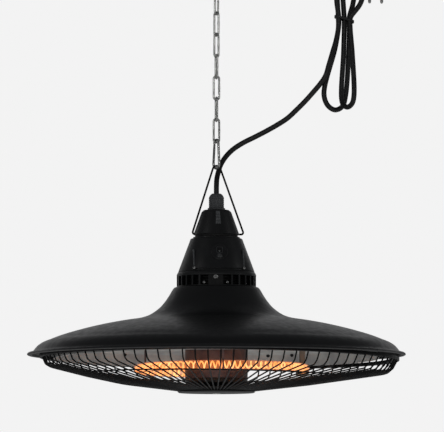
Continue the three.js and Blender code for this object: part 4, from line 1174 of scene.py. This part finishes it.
# %% Receiver window
WINDOW_RISE = 2.6
WINDOW_HALF_WIDTH = 3.8
WINDOW_HALF_HEIGHT = 4
WINDOW_TAPER = 0.97
FRAME_HALF_WIDTH = 4.4
FRAME_HALF_HEIGHT = 4.6
FRAME_LIFT = 2.3
FRAME_WIRE = 0.35
FRAME_CORNER = 0.8


def window_frame():
    side = FRAME_HALF_WIDTH
    low, high = WINDOW_RISE - FRAME_HALF_HEIGHT, WINDOW_RISE + FRAME_HALF_HEIGHT
    corners = [(-side, WINDOW_RISE), (-side, low), (side, low), (side, high), (-side, high),
               (-side, WINDOW_RISE)]
    line = bent([(x, y, FRAME_LIFT) for x, y in corners], [FRAME_CORNER] * 4, 3)
    return wire(line[:-1], FRAME_WIRE, 8, True)


def window_pane():
    x, y = WINDOW_HALF_WIDTH, WINDOW_HALF_HEIGHT
    outline = softened([(-x, -y, 0.6), (x, -y, 0.6), (x, y, 0.6), (-x, y, 0.6)])
    points = []
    for height, share in ((1.4, 1), (2.35, WINDOW_TAPER)):
        points += [(p.x * share, p.y * share + WINDOW_RISE, height) for p in outline]
    return points, bridge(2, len(outline)) + caps(2, len(outline))


print("window:", 2 * WINDOW_HALF_WIDTH, "by", 2 * WINDOW_HALF_HEIGHT, "mm")

# %% [markdown]
# Under the window sits a small metal button in a grey ring. It is a piece of its own on its own
# body, because it can be pressed. CONTROL is the bezel's place on the slope, and everything here is
# drawn flat in it. Bezel, ring, button and the receiver's bright eye are all turned.

# %% Bezel and button
CONTROL_HEIGHT = 154
CONTROL = HEATER @ on_cone(0, CONTROL_HEIGHT)
BUTTON_MIDDLE = Matrix.Translation((0, -7.6, 0))
EYE_MIDDLE = Matrix.Translation((0, 1, 0))


def make_controls():
    bezel = turned([
        (12.2, -5), (13, -4), (13, 2.2, 0.5), (12.2, 2.6, 0.3), (11, 2.6, 0.3), (10.6, 2.1, 0.2),
        (0.001, 2.1),
    ], 64, False)
    collar = moved(turned([(3.7, 1.8), (4.5, 1.8), (4.5, 2.5, 0.2), (3.7, 2.5, 0.2)], 40), BUTTON_MIDDLE)
    piece("bezel_disc", bezel, panel_plastic, "heater", ["control_bezel"], CONTROL)
    piece("bezel_rings", joined(collar, window_frame()), gland_nylon, "heater", (), CONTROL)
    piece("window_lens", window_pane(), dark_plastic_and_painted_shade, "heater", ["receiver_window"], CONTROL)
    eye = turned([(0.001, 2.2), (1.5, 2.2), (1.5, 2.5, 0.2), (0.9, 3, 0.3), (0.001, 3.1)], 24, False)
    piece("window_eye", moved(eye, EYE_MIDDLE), gate_steel, "heater", (), CONTROL)
    knob = turned([
        (0.001, -4), (3.4, -4), (3.5, 3.4, 0.3), (2.9, 4.1, 0.3), (1.2, 3.9, 0.5), (0.001, 3.85),
    ], 40, False)
    piece("button_cap", moved(knob, BUTTON_MIDDLE), gate_steel, "power_button", ["power_button"], CONTROL)


make_controls()
print("bezel, window and button made")

# %% [markdown]
# ## Vent ring
# The ring has thirty equal pitches. Twenty-eight of them are windows between upright posts, and the
# other two are a solid block at the front, which carries a screw. Behind the windows lie thin fins,
# so dark slots show between grey lines. Cutting windows out of a solid ring would leave poor faces,
# so the ring is built up from a foot, a head and one post for each gap.

# %% Vent ring
VENT_PITCHES = 30
VENT_WINDOWS = 28
VENT_TURN = math.radians(-6.4)
POST_HALF = math.radians(1.35)
BLOCK_HALF_SHARE = 0.9
BLOCK_BACK = 0.9
SILL = 104.3
LINTEL = 119
HEAD_EDGE = 122
VENT_DEPTH = 6


def make_vent():
    inner = VENT_RADIUS - VENT_DEPTH
    foot = [(inner, VENT_BASE), (VENT_RADIUS, VENT_BASE, 0.4), (VENT_RADIUS, SILL, 0.5), (inner, SILL)]
    head = [(inner, LINTEL), (VENT_RADIUS, LINTEL, 0.5), (VENT_RADIUS, HEAD_EDGE, 1),
            (CONE_LOW, VENT_TOP, 0.5), (inner, VENT_TOP)]
    post = [(inner, SILL), (VENT_RADIUS, SILL), (VENT_RADIUS, LINTEL), (inner, LINTEL)]
    shapes = [turned(foot, 120), turned(head, 120)]
    pitch = math.tau / VENT_PITCHES
    for i in range(1, VENT_WINDOWS):
        middle = VENT_TURN + pitch * (i + 1)
        shapes.append(sector(post, middle - POST_HALF, middle + POST_HALF, 2))
    piece("vent_moulding", joined(*shapes), neck_plastic, "heater", ["vent_ring"])
    face = VENT_RADIUS - BLOCK_BACK
    block = [(inner, SILL), (face, SILL, 0.3), (face, LINTEL, 0.3), (inner, LINTEL)]
    half = pitch * BLOCK_HALF_SHARE
    piece("vent_block", sector(block, VENT_TURN - half, VENT_TURN + half, 8), dark_plastic_and_painted_shade, "heater")


make_vent()
print("vent ring with", VENT_WINDOWS, "windows")

# %% [markdown]
# The fins are rings round a thin wall. One outline with three teeth makes them all at once. A big
# screw goes into the block, and two smaller ones sit low on either side of it.

# %% Fins and vent screws
FIN_WALL = (42.5, 44.4)
FIN_REACH = 53.6
FIN_COUNT = 3
FIN_PITCH = 4.8
FIN_HEIGHT = 1.2
FIN_TOP = 120
VENT_SCREW_HEIGHT = 115.6
FOOT_SCREW_HEIGHT = 107.4
FOOT_SCREW_TURN = 17


def make_fins():
    back, front = FIN_WALL
    outline = [(back, VENT_BASE), (front, VENT_BASE)]
    for i in range(FIN_COUNT):
        low = SILL + FIN_PITCH * (i + 0.4)
        high = low + FIN_HEIGHT
        outline += [(front, low), (FIN_REACH, low, 0.3), (FIN_REACH, high, 0.3), (front, high)]
    outline += [(front, FIN_TOP), (back, FIN_TOP)]
    piece("louvre_fins", turned(outline), dark_plastic_and_painted_shade, "heater", ["louvre_ring"])


def on_wall(angle, height, radius):
    return (Matrix.Rotation(angle, 4, "Z") @ Matrix.Translation((0, -radius, height))
            @ Matrix.Rotation(math.pi / 2, 4, "X"))


make_fins()
make_screw("screw_vent", on_wall(VENT_TURN, VENT_SCREW_HEIGHT, VENT_RADIUS - BLOCK_BACK),
           ["vent_screw"], 3.6, 1.8)
for index, side in enumerate((-1, 1)):
    turn = VENT_TURN + math.radians(side * FOOT_SCREW_TURN)
    make_screw(f"screw_foot_{index + 1}", on_wall(turn, FOOT_SCREW_HEIGHT, VENT_RADIUS), (), 2, 0.7)
print("fins:", FIN_COUNT)

# %% [markdown]
# ## Cable gland
# The gland screws into the cap and its domed nut squeezes a rubber seal round the cord. Both the
# flange and the nut have flats for a spanner. A cylinder with six sides would have them too, but
# the corners of a real nut are rounded at the top, because it was turned. So these are turned first,
# and then every point that is further out than a flat is drawn in to it.

# %% Flats and flutes
FLUTES = 24
FLUTE_RADIUS = 10.5


def flatted(outline, flats, reach, flute=0.0, steps=144):
    points, faces = turned(outline, steps)
    made = []
    for point in points:
        radius = math.hypot(point.x, point.y)
        angle = math.atan2(point.y, point.x)
        off = (angle % (math.tau / flats)) - math.pi / flats
        limit = reach * math.cos(math.pi / flats) / math.cos(off)
        share = min(1.0, limit / radius)
        if radius > FLUTE_RADIUS:
            share *= 1 - flute * (0.5 + 0.5 * math.cos(FLUTES * angle))
        made.append(Vector((point.x * share, point.y * share, point.z)))
    return made, faces


print("flutes round a nut:", FLUTES)

# %% [markdown]
# The nut also has four grooves round it besides its upright flutes, so that fingers can grip it.
# The outline holds the grooves, and the seal shows as a thin ring round the cord at the top.

# %% Cable gland
GLAND_BASE = 222.1
NUT_BASE = 225.4
NUT_TOP = 240.6
DOME_TOP = 244.6
GLAND_TOP = 247.6
FLANGE_REACH = 13.5
NUT_REACH = 12
FLUTE_DEPTH_SHARE = 0.05
GROOVES = 4
GROOVE_RADIUS = 11.2
SEAL_RADII = (4.15, 5.4)


def nut_outline():
    outline = [(9.6, NUT_BASE), (NUT_REACH, NUT_BASE, 0.5)]
    for i in range(GROOVES):
        low = NUT_BASE + (NUT_TOP - NUT_BASE) * (i + 0.8) / (GROOVES + 0.6)
        outline += [(NUT_REACH, low, 0.1), (GROOVE_RADIUS, low + 0.3), (GROOVE_RADIUS, low + 0.8),
                    (NUT_REACH, low + 1.1, 0.1)]
    lip = GLAND_TOP - 0.4
    dome = [(NUT_REACH, NUT_TOP, 1.2), (9.9, DOME_TOP, 1.5), (7.2, lip, 0.8), (4.7, lip, 0.3), (4.7, 243)]
    return outline + dome


def make_gland():
    top = NUT_BASE - 0.3
    flange = [(5, GLAND_BASE), (FLANGE_REACH, GLAND_BASE, 0.5), (FLANGE_REACH, top, 0.5), (5, top)]
    piece("gland_flange", flatted(flange, 6, FLANGE_REACH), gland_nylon, "heater", ["gland_body"])
    nut = flatted(nut_outline(), 12, NUT_REACH, FLUTE_DEPTH_SHARE)
    piece("gland_dome", nut, gland_nylon, "heater", ["gland_nut"])
    inner, outer = SEAL_RADII
    high = GLAND_TOP - 0.1
    seal = turned([(inner, 238), (outer, 238), (outer, high, 0.4), (inner, high, 0.2)], 40)
    piece("gland_rubber", seal, plug_rubber, "heater", ["gland_seal"])


make_gland()
print("gland", round(GLAND_TOP - GLAND_BASE, 1), "mm high")

# %% [markdown]
# ## Shade
# The shade is spun from one disc of sheet. It sweeps out from the neck in a hollow curve, turns
# over into a long flat dome and ends in a rolled rim. The outline has the few places where the curve
# changes, and the same smooth line that draws the cord joins them, as the spinner's roller would.

# %% Shade outline
RIM = 290
SHEET = 1.5
TOP_HOLE = 20.5
SHADE_LINE = [
    (62.8, 102.6), (64.4, 102.3), (67.2, 99.2), (71.9, 91.2), (78.8, 80.9), (87.3, 71.2),
    (102.4, 60.6), (117.4, 55.4), (148, 50.4), (178.6, 44.5), (209.3, 37), (239.9, 27.9), (255.2, 22),
    (264.4, 18.4), (270.6, 14.9), (274.6, 11.7), (277.6, 8.3), (279.6, 5.6), (281, 4.1),
]
RIM_BEAD = [
    (7, 3.2), (4.4, 2.7), (2, 2), (0.6, 1.1), (0, 0), (0.4, -1.1), (1.6, -1.8),
    (3.6, -2), (6.2, -1.9), (7.4, -1.3), (7.8, -0.2), (8.2, 1), (9.4, 2.4),
]


def shade_outside():
    line = smooth_line([Vector((radius, 0, height)) for radius, height in SHADE_LINE], 5)
    return [(p.x, p.z) for p in line]


def set_in(line, thickness):
    inside = []
    for i, (radius, height) in enumerate(line):
        before = line[max(i - 1, 0)]
        after = line[min(i + 1, len(line) - 1)]
        run = Vector((after[0] - before[0], after[1] - before[1])).normalized()
        inside.append((radius + run.y * thickness, height - run.x * thickness))
    return inside


print("places along the shade:", len(shade_outside()))

# %% [markdown]
# The sheet's inner side is the same line, set in by the sheet's thickness. Its two ends are left
# off, where it would run into the rim's bead and the flat top. A solidify modifier would thicken
# the sheet too, but the rim is a solid bead, which has to be drawn.

# %% Shade
SHADE_TURN_STEPS = 192
ENDS_LEFT_OFF = 4


def make_shade():
    outside = shade_outside()
    inside = set_in(outside, SHEET)[ENDS_LEFT_OFF:-ENDS_LEFT_OFF]
    bead = [(RIM - inset, height) for inset, height in RIM_BEAD]
    top = [(TOP_HOLE, SHADE_HEIGHT - SHEET), (TOP_HOLE, SHADE_HEIGHT)]
    outline = outside + bead + inside[::-1] + top
    piece("shade_spinning", turned(outline[::-1], SHADE_TURN_STEPS), shade_paint, "heater", ["shade"])


make_shade()
print("shade", 2 * RIM, "mm wide")

# %% [markdown]
# ## Reflector, hub and lamp
# The reflector is a shallow pan under the shade, pressed from thin sheet. It is turned like the
# shade, with a wide radius at each corner where the press has bent it. In the photograph the inner
# parts of the head don't hang quite level: the near side is higher. HEAD_LEAN is that slope, and
# the pan, the lamp and the guard's ring all take it.

# %% Reflector
HEAD_LEAN = 0.0145
REFLECTOR_TOP = 20
REFLECTOR_SHEET = 1.2
REFLECTOR_HOLE = 17.7
REFLECTOR_FLAT = 212.5
REFLECTOR_FOOT = -6.8


def make_reflector():
    under = REFLECTOR_TOP - REFLECTOR_SHEET
    outline = [
        (REFLECTOR_HOLE, REFLECTOR_TOP), (REFLECTOR_FLAT, REFLECTOR_TOP, 6), (235, 18.6, 8),
        (245.5, 13.9, 3), (249.4, REFLECTOR_FOOT, 0.5), (248.2, REFLECTOR_FOOT, 0.3), (244.4, 13.2, 3),
        (234.8, 17.4, 8), (REFLECTOR_FLAT, under, 6), (REFLECTOR_HOLE, under),
    ]
    pan = moved(turned(outline[::-1], 128), Matrix.Rotation(-HEAD_LEAN, 4, "X"))
    piece("reflector_pan", pan, dull_aluminium, "heater", ["reflector"])


make_reflector()
print("head leans by", round(math.degrees(HEAD_LEAN), 2), "degrees")

# %% [markdown]
# In the middle of the pan hangs a drum of dark sheet with two pressed ribs, closed by a dished
# floor. All of it is round, so it is turned, and a rib is a low ring laid over the drum. Three dark
# screw heads sit on the far side of the pan's skirt, where one looks in under the shade.

# %% Hub and skirt screws
HUB_RADIUS = 48
HUB_WALL = 1.2
HUB_TOP = 18.5
HUB_LOW = -37
HUB_RIBS = (-30, 4)
FLOOR_HOLE = 3.4
FLOOR_LOW = -49.7
SKIRT_SCREWS = (-126, 104, 140)
SKIRT_SCREW_RADIUS = 245.4
SKIRT_SCREW_HEIGHT = 8.5


def make_hub():
    inner = HUB_RADIUS - HUB_WALL
    drum = [(inner, HUB_LOW), (HUB_RADIUS, HUB_LOW, 0.4), (HUB_RADIUS, HUB_TOP), (inner, HUB_TOP)]
    ribs = []
    for height in HUB_RIBS:
        ribs.append(turned([(47.6, height - 0.8), (48.5, height, 0.4), (47.6, height + 0.8), (47, height)]))
    piece("hub_shell", joined(turned(drum), *ribs), hub_sheet, "heater", ["hub_drum"])
    top = HUB_LOW - 0.4
    floor = [
        (FLOOR_HOLE, FLOOR_LOW), (34, FLOOR_LOW, 3), (45.6, -46.6, 2), (HUB_RADIUS, -43.4, 1),
        (HUB_RADIUS, top, 0.4), (FLOOR_HOLE, top),
    ]
    piece("hub_floor", turned(floor), shade_paint, "heater", ["hub_base"])


def make_skirt_screws():
    for index, side in enumerate(SKIRT_SCREWS):
        turn = math.pi - math.asin(side / SKIRT_SCREW_RADIUS)
        place = (Matrix.Rotation(turn, 4, "Z")
                 @ Matrix.Translation((0, -SKIRT_SCREW_RADIUS, SKIRT_SCREW_HEIGHT))
                 @ Matrix.Rotation(-math.pi / 2, 4, "X"))
        piece(f"skirt_screw_{index + 1}", moved(screw_head(3.2, 1.4), place), shade_paint, "heater")


make_hub()
make_skirt_screws()
print("hub", 2 * HUB_RADIUS, "mm wide, skirt screws:", len(SKIRT_SCREWS))

# %% [markdown]
# Round the drum runs the lamp: a heating wire wound into a long coil, in a ring of quartz tube with
# a gap for its two ends. The coil is drawn curl by curl, because the camera sees its single turns.
# It fades to a straight lead over the first and last curl.

# %% Winding
LAMP_RADIUS = 128
LAMP_OFFSET = 8
LAMP_HEIGHT = -22.3
LAMP_START = math.radians(72)
LAMP_END = math.radians(368)
LAMP_LEAD = 4
LAMP_CURLS = 78
CURL_STEPS = 16
CURL_RADIUS = 4.9
HOT_WIRE_RADIUS = 1.05


def lamp_place(angle, radius=LAMP_RADIUS, height=LAMP_HEIGHT):
    depth = radius * math.sin(angle)
    return Vector((LAMP_OFFSET + radius * math.cos(angle), depth, height - HEAD_LEAN * depth))


def winding():
    steps = LAMP_CURLS * CURL_STEPS
    lead = LAMP_LEAD / LAMP_RADIUS
    line = [lamp_place(LAMP_START)]
    for i in range(steps + 1):
        share = i / steps
        angle = LAMP_START + lead + (LAMP_END - LAMP_START - 2 * lead) * share
        turn = math.tau * LAMP_CURLS * share
        spread = CURL_RADIUS * min(1, i / CURL_STEPS, (steps - i) / CURL_STEPS)
        line.append(lamp_place(angle, LAMP_RADIUS + spread * math.cos(turn),
                               LAMP_HEIGHT + spread * math.sin(turn)))
    line.append(lamp_place(LAMP_END))
    return line


piece("lamp_winding", wire(winding(), HOT_WIRE_RADIUS, 6), hot_wire, "heater", ["lamp_filament"])
print("winding of", round(length_of(winding()) * MM, 2), "m of wire in", LAMP_CURLS, "curls")

# %% [markdown]
# The quartz tube has a real wall, because light bends at both of its faces. It is one wire inside
# another, with the inner one's faces turned round, and a ring of faces closes each end between them.
# A single tube would bend the light like a solid rod of glass.

# %% Quartz tube
QUARTZ_RADIUS = 7
QUARTZ_WALL = 1
QUARTZ_SIDES = 20
QUARTZ_STEPS = 120


def quartz_tube():
    arc = [lamp_place(LAMP_START + (LAMP_END - LAMP_START) * i / QUARTZ_STEPS)
           for i in range(QUARTZ_STEPS + 1)]
    outer, _ = wire(arc, QUARTZ_RADIUS, QUARTZ_SIDES, ends="flat")
    inner, _ = wire(arc, QUARTZ_RADIUS - QUARTZ_WALL, QUARTZ_SIDES, ends="flat")
    count = len(outer)
    skin = bridge(len(arc), QUARTZ_SIDES)
    faces = skin + [tuple(i + count for i in face[::-1]) for face in skin]
    for start, flip in ((0, False), (count - QUARTZ_SIDES, True)):
        for j in range(QUARTZ_SIDES):
            k = (j + 1) % QUARTZ_SIDES
            face = (start + j, count + start + j, count + start + k, start + k)
            faces.append(face[::-1] if flip else face)
    return outer + inner, faces


piece("lamp_quartz", quartz_tube(), quartz_glass, "heater", ["lamp_tube"])
print("quartz tube", 2 * QUARTZ_RADIUS, "mm thick")

# %% [markdown]
# Ceramic blocks hold the tube's ends, and two thin clips carry it in between. A block has its edges
# broken by a small chamfer, as pressed ceramic has. A cube with a bevel modifier would do, and four
# rings of points do the same with no modifier left on the piece.

# %% Chamfered block
CHAMFER_SHARE = 0.6


def chamfered(low, high, edge):
    (x0, y0, z0), (x1, y1, z1) = low, high
    outline = softened([(x0, y0, edge), (x1, y0, edge), (x1, y1, edge), (x0, y1, edge)])
    middle = Vector(((x0 + x1) / 2, (y0 + y1) / 2))
    points = []
    for height, shrink in ((z0, 1), (z0 + edge, 0), (z1 - edge, 0), (z1, 1)):
        for p in outline:
            inward = (middle - p).normalized() * edge * CHAMFER_SHARE * shrink
            points.append(Vector((p.x + inward.x, p.y + inward.y, height)))
    return points, bridge(4, len(outline)) + caps(4, len(outline))


print("points in a block:", len(chamfered((0, 0, 0), (9, 9, 9), 1)[0]))

# %% [markdown]
# Each holder has a stem that reaches up to the pan's flat top. The end blocks stand on either side
# of the tube's gap, and the clips sit about a quarter and two thirds of the way round. All are drawn
# round the middle of the tube's line and then set on it.

# %% Lamp holders
HOLDER_TOP = HUB_TOP - LAMP_HEIGHT
BLOCK_HALF = 9
BLOCK_PAST = 10
BLOCK_OVER = 8
STEM_HALF = (4, 4.5)
CLIP_STEPS = 26
CLIPS_AT = (7, 17)
CLIP_HALF = 1.2
CLIP_RADII = (7.6, 8.4)


def on_lamp(shape, angle, facing):
    return moved(shape, Matrix.Translation(lamp_place(angle)) @ Matrix.Rotation(facing, 4, "Z"))


def end_block(side):
    low, high = sorted((-side * BLOCK_PAST, side * BLOCK_OVER))
    across, along = STEM_HALF
    middle = (low + high) / 2
    return joined(
        chamfered((-BLOCK_HALF, low, -BLOCK_HALF), (BLOCK_HALF, high, BLOCK_HALF), 1.2),
        chamfered((-across, middle - along, BLOCK_HALF - 0.5), (across, middle + along, HOLDER_TOP), 0.5),
    )


def clip_shape():
    inner, outer = CLIP_RADII
    half = CLIP_HALF
    ring = turned([(inner, -half), (outer, -half, 0.2), (outer, half, 0.2), (inner, half)], 40)
    stem = chamfered((-half, -half, outer - 0.3), (half, half, HOLDER_TOP), 0.4)
    return joined(moved(ring, Matrix.Rotation(math.pi / 2, 4, "X")), stem)


def make_holders():
    step = (LAMP_END - LAMP_START) / CLIP_STEPS
    for name, angle, side in (("first", LAMP_START, 1), ("last", LAMP_END, -1)):
        block = on_lamp(end_block(side), angle, angle + side * step / 2)
        piece(f"lamp_block_{name}", block, ceramic, "heater", [f"lamp_end_{name}"])
    for index, steps in enumerate(CLIPS_AT):
        angle = LAMP_START + step * steps
        piece(f"lamp_grip_{index + 1}", on_lamp(clip_shape(), angle, angle), hub_sheet, "heater",
              [f"lamp_clip_{index + 1}"])


make_holders()
print("lamp holders:", 2 + len(CLIPS_AT))

# %% [markdown]
# ## Guard
# Ninety wires fan out from a disc in the middle, run along a flat cone, bend up near the rim and
# end under a flat ring. A hoop ties them together on the inside. A second one, which the CAD keeps
# at their bend, doesn't show in the photograph, so the wires stand for it here. Wire this thin is
# easily bent when the guard goes in: in the photograph the left side is pushed up and in by a few
# millimetres, and the far side hangs lower than the near one. Every wire therefore lies between a
# left and a right shape, by how far round it stands. GUARD_LEAN is how much the near edge is raised
# and the far one lowered. An array of one wire round the axis couldn't follow that.

# %% Guard lines
GUARD_WIRES = 90
GUARD_WIRE = 1.15
GUARD_DISC = -55.6
DISC_RADIUS = 57
WIRE_START = 56
GUARD_LEFT = [(266, -4.6), (262, -14.2), (255.5, -18), (202, -31.8), (147, -43.9), (WIRE_START, GUARD_DISC)]
GUARD_RIGHT = [
    (276.6, -10), (270.4, -21.6), (262.5, -28.6), (202, -37.3), (147, -45.1), (WIRE_START, GUARD_DISC),
]
GUARD_BENDS = [6, 9, 200, 260]
GUARD_LEAN = 2.4
GUARD_SPAN = 215
HOOP_STEPS = 144


def rightness(turn):
    return 0.5 + 0.5 * math.sin(turn + CAMERA_TURN)


def around(radius, turn, height):
    lift = GUARD_LEAN * math.cos(turn) * (radius - WIRE_START) / GUARD_SPAN
    return Vector((radius * math.sin(turn), -radius * math.cos(turn), height + lift))


def guard_corners(turn):
    share = rightness(turn)
    corners = []
    for (left, low), (right, high) in zip(GUARD_LEFT, GUARD_RIGHT):
        corners.append(around(left + (right - left) * share, turn, low + (high - low) * share))
    return corners


print("guard is", round(GUARD_RIGHT[0][0] - GUARD_LEFT[0][0], 1), "mm wider on the right")

# %% [markdown]
# Now the wires can be bent one by one. They are welded to a disc in the middle, so wires and disc
# are one piece. The hoop lies on the upper side of the wires, three quarters of the way out.

# %% Guard wires
def make_guard():
    turns = [math.tau * i / GUARD_WIRES for i in range(GUARD_WIRES)]
    spokes = [wire(bent(guard_corners(turn), GUARD_BENDS, 4), GUARD_WIRE, 8) for turn in turns]
    low, high = GUARD_DISC - 1.1, GUARD_DISC + 1.1
    disc = turned([(4.1, low), (DISC_RADIUS, low), (DISC_RADIUS, high), (4.1, high)])
    piece("guard_spokes", joined(*spokes, disc), wire_paint, "heater", ["guard_wires", "guard_hoop_corner"])
    lift = Vector((0, 0, 2 * GUARD_WIRE))
    hoop = [guard_corners(math.tau * i / HOOP_STEPS)[3] + lift for i in range(HOOP_STEPS)]
    piece("guard_ring_lower", wire(hoop, GUARD_WIRE, 10, True), wire_paint, "heater",
          ["guard_hoop_lower"])


make_guard()
print("guard with", GUARD_WIRES, "wires")

# %% [markdown]
# The wires' disc is clamped between two shallow plates by one low screw. The ring that carries the
# wires' upper ends is flat strip and lies just inside the rolled rim. It takes the head's lean and
# a small one of its own, and sits a little to the right, as the wires do.

# %% Guard plates and ring
PLATE_RADIUS = 59.4
PLATE_HOLE = 4.2
PLATE_GAP = 1.4
RING_RADII = (263.5, 275.6)
RING_HEIGHTS = (-7.7, -2.6)
RING_SHIFT = 4.6
RING_LEAN = 2.8 / 271


def make_ring():
    inner, outer = RING_RADII
    low, high = RING_HEIGHTS
    ring = turned([(inner, low), (outer, low, 0.6), (outer, high, 0.6), (inner, high, 0.6)], 192)
    right = Vector((math.cos(CAMERA_TURN), -math.sin(CAMERA_TURN), 0))
    tilt = Matrix.Rotation(-HEAD_LEAN, 4, "X") @ Matrix.Rotation(RING_LEAN, 4, "Y")
    piece("guard_flange", moved(ring, Matrix.Translation(right * RING_SHIFT) @ tilt), wire_paint, "heater",
          ["guard_rim"])


def make_plates():
    low = GUARD_DISC + PLATE_GAP
    upper = [(PLATE_HOLE, low), (58.3, low, 0.5), (PLATE_RADIUS, low + 1.9, 1), (PLATE_RADIUS, low + 3.9),
             (PLATE_HOLE, low + 3.9)]
    piece("plate_above", turned(upper), shade_paint, "heater", ["guard_plate_upper"])
    high = GUARD_DISC - PLATE_GAP
    foot = high - 1.95
    lower = [(PLATE_HOLE, foot), (57.4, foot, 1), (PLATE_RADIUS, high - 0.5, 0.4), (PLATE_RADIUS, high),
             (PLATE_HOLE, high)]
    piece("plate_below", turned(lower), shade_paint, "heater", ["guard_plate_lower"])
    under = Matrix.Translation((0, 0, high - 2.25)) @ Matrix.Rotation(math.pi, 4, "X")
    piece("plate_bolt", moved(screw_head(7, 1.2), under), screw_steel, "heater", ["guard_screw"])


make_ring()
make_plates()
print("plates", 2 * PLATE_RADIUS, "mm wide")

# %% [markdown]
# ## Pieces kept from the CAD
# Parts inside the neck never show, so their CAD shapes are good enough. They could be left as they
# are, but they still get a real finish, because the model may be taken apart.

# %% Finishes for kept nodes
board_lacquer = moulded("board_lacquer", colour(28, 74, 44), colour(40, 96, 58), 0.35)
KEPT = {
    "gland_locknut": gland_nylon,
    "mounting_plate": dull_aluminium,
    "thermal_cutout": gate_steel,
    "terminal_block": ceramic,
    "inner_cable": cord_jacket,
    "centre_tube": dull_aluminium,
    "heat_shield": dull_aluminium,
    "control_board": board_lacquer,
}
for name, finish in KEPT.items():
    wear(name, finish)
print("kept nodes:", len(KEPT))

# %% [markdown]
# ## Light and background
# The heater hangs in front of a wide pale wall of light. A satin black shade that is seen almost
# edge-on mirrors that wall, so it is brightest along its upper edge and fades to black where it
# turns down. The neck stands in the way of the wall, which leaves the middle of the dome dark.
# Two soft lamps at the sides pick out the screws, a low one reaches under the shade, and a narrow
# one is kept on the chain, because thin plated wire needs a light of its own to look bright.

# %% Lights
WALL_POWER = 20.5
LEFT_POWER = 4
RIGHT_POWER = 3
FRONT_POWER = 4
CHAIN_POWER = 60
CHAIN_BEAM = math.radians(10)
HEATER_MIDDLE = (0, 0, -0.5)


def hang_light(name, kind, power, place, target):
    data = bpy.data.lights.new(name, kind)
    data.energy = power
    light = bpy.data.objects.new(name, data)
    light.location = place
    light.rotation_mode = "QUATERNION"
    light.rotation_quaternion = (Vector(target) - Vector(place)).to_track_quat("-Z", "Y")
    bpy.context.scene.collection.objects.link(light)
    return light


def soft_panel(name, place, size, power, target=HEATER_MIDDLE):
    light = hang_light(name, "AREA", power, place, target)
    light.data.shape = "RECTANGLE"
    light.data.size, light.data.size_y = size
    light.visible_camera = False


def chain_lamp():
    light = hang_light("chain", "SPOT", CHAIN_POWER, (-0.5, -2.2, 0.25), (0, 0, -0.12))
    light.data.spot_size = CHAIN_BEAM
    light.data.spot_blend = 0.7
    light.data.shadow_soft_size = 0.2


chain_lamp()
soft_panel("wall", (0, 3.4, 0.35), (8, 2.2), WALL_POWER, (0, 0, 0.1))
soft_panel("left", (-3, -1.6, 0.8), (0.8, 1.6), LEFT_POWER)
soft_panel("right", (3, -1.2, 0.6), (0.8, 1.6), RIGHT_POWER)
soft_panel("front", (-0.3, -2.4, -1.05), (3, 0.8), FRONT_POWER, (0, 0.1, 0))
print("lights:", len(bpy.data.lights))

# %% [markdown]
# The room itself is dim and slightly blue, and it fills the shadows. The camera sees it as a pale
# grey, like a photographer's paper. A light path node tells a ray from the camera from all others,
# and mixes the two backgrounds by that.

# %% Room
PAPER = colour(243, 243, 243)
ROOM = (0.8, 0.82, 0.85, 1)
ROOM_STRENGTH = 0.12


def make_room():
    world = bpy.data.worlds.new("studio")
    world.use_nodes = True
    tree = world.node_tree
    seen = tree.nodes["Background"]
    seen.inputs["Color"].default_value = PAPER
    soft = tree.nodes.new("ShaderNodeBackground")
    soft.inputs["Color"].default_value = ROOM
    soft.inputs["Strength"].default_value = ROOM_STRENGTH
    rays = tree.nodes.new("ShaderNodeLightPath")
    mix = tree.nodes.new("ShaderNodeMixShader")
    tree.links.new(rays.outputs["Is Camera Ray"], mix.inputs["Fac"])
    tree.links.new(soft.outputs["Background"], mix.inputs[1])
    tree.links.new(seen.outputs["Background"], mix.inputs[2])
    tree.links.new(mix.outputs["Shader"], tree.nodes["World Output"].inputs["Surface"])
    bpy.context.scene.world = world


make_room()
bpy.context.scene.view_settings.view_transform = "Standard"
print("room strength:", ROOM_STRENGTH)

# %% [markdown]
# The floor lies far below the heater and shows only when one looks down at it. It throws light up
# under the shade, and it glows a little itself, so that the reflector reads as light grey metal.

# %% Floor
FLOOR_DROP = 1.6
FLOOR_REACH = 6
FLOOR_GLOW = 0.3


def make_floor():
    finish = Finish("floor_paint")
    shade = finish.spread(finish.noise(size=400, detail=3), 0, 1)
    finish.tones(shade, colour(226, 226, 226), colour(232, 232, 232))
    finish.roughness(finish.spread(finish.noise(size=60, detail=3), 0.7, 0.85))
    finish.shader.inputs["Emission Color"].default_value = colour(240, 240, 240)
    finish.shader.inputs["Emission Strength"].default_value = FLOOR_GLOW
    height = cad_box[0].z - FLOOR_DROP
    corners = [(x * FLOOR_REACH, y * FLOOR_REACH, height) for x, y in ((-1, -1), (1, -1), (1, 1), (-1, 1))]
    mesh = bpy.data.meshes.new("floor")
    mesh.from_pydata(corners, [], [(0, 1, 2, 3)])
    mesh.materials.append(finish.material)
    floor = bpy.data.objects.new("floor", mesh)
    bpy.context.scene.collection.objects.link(floor)


make_floor()
print("floor", FLOOR_DROP, "m below the heater")

# The CAD's box is printed.

# %% CAD size
print("CAD", [tuple(round(v, 4) for v in c) for c in cad_box])
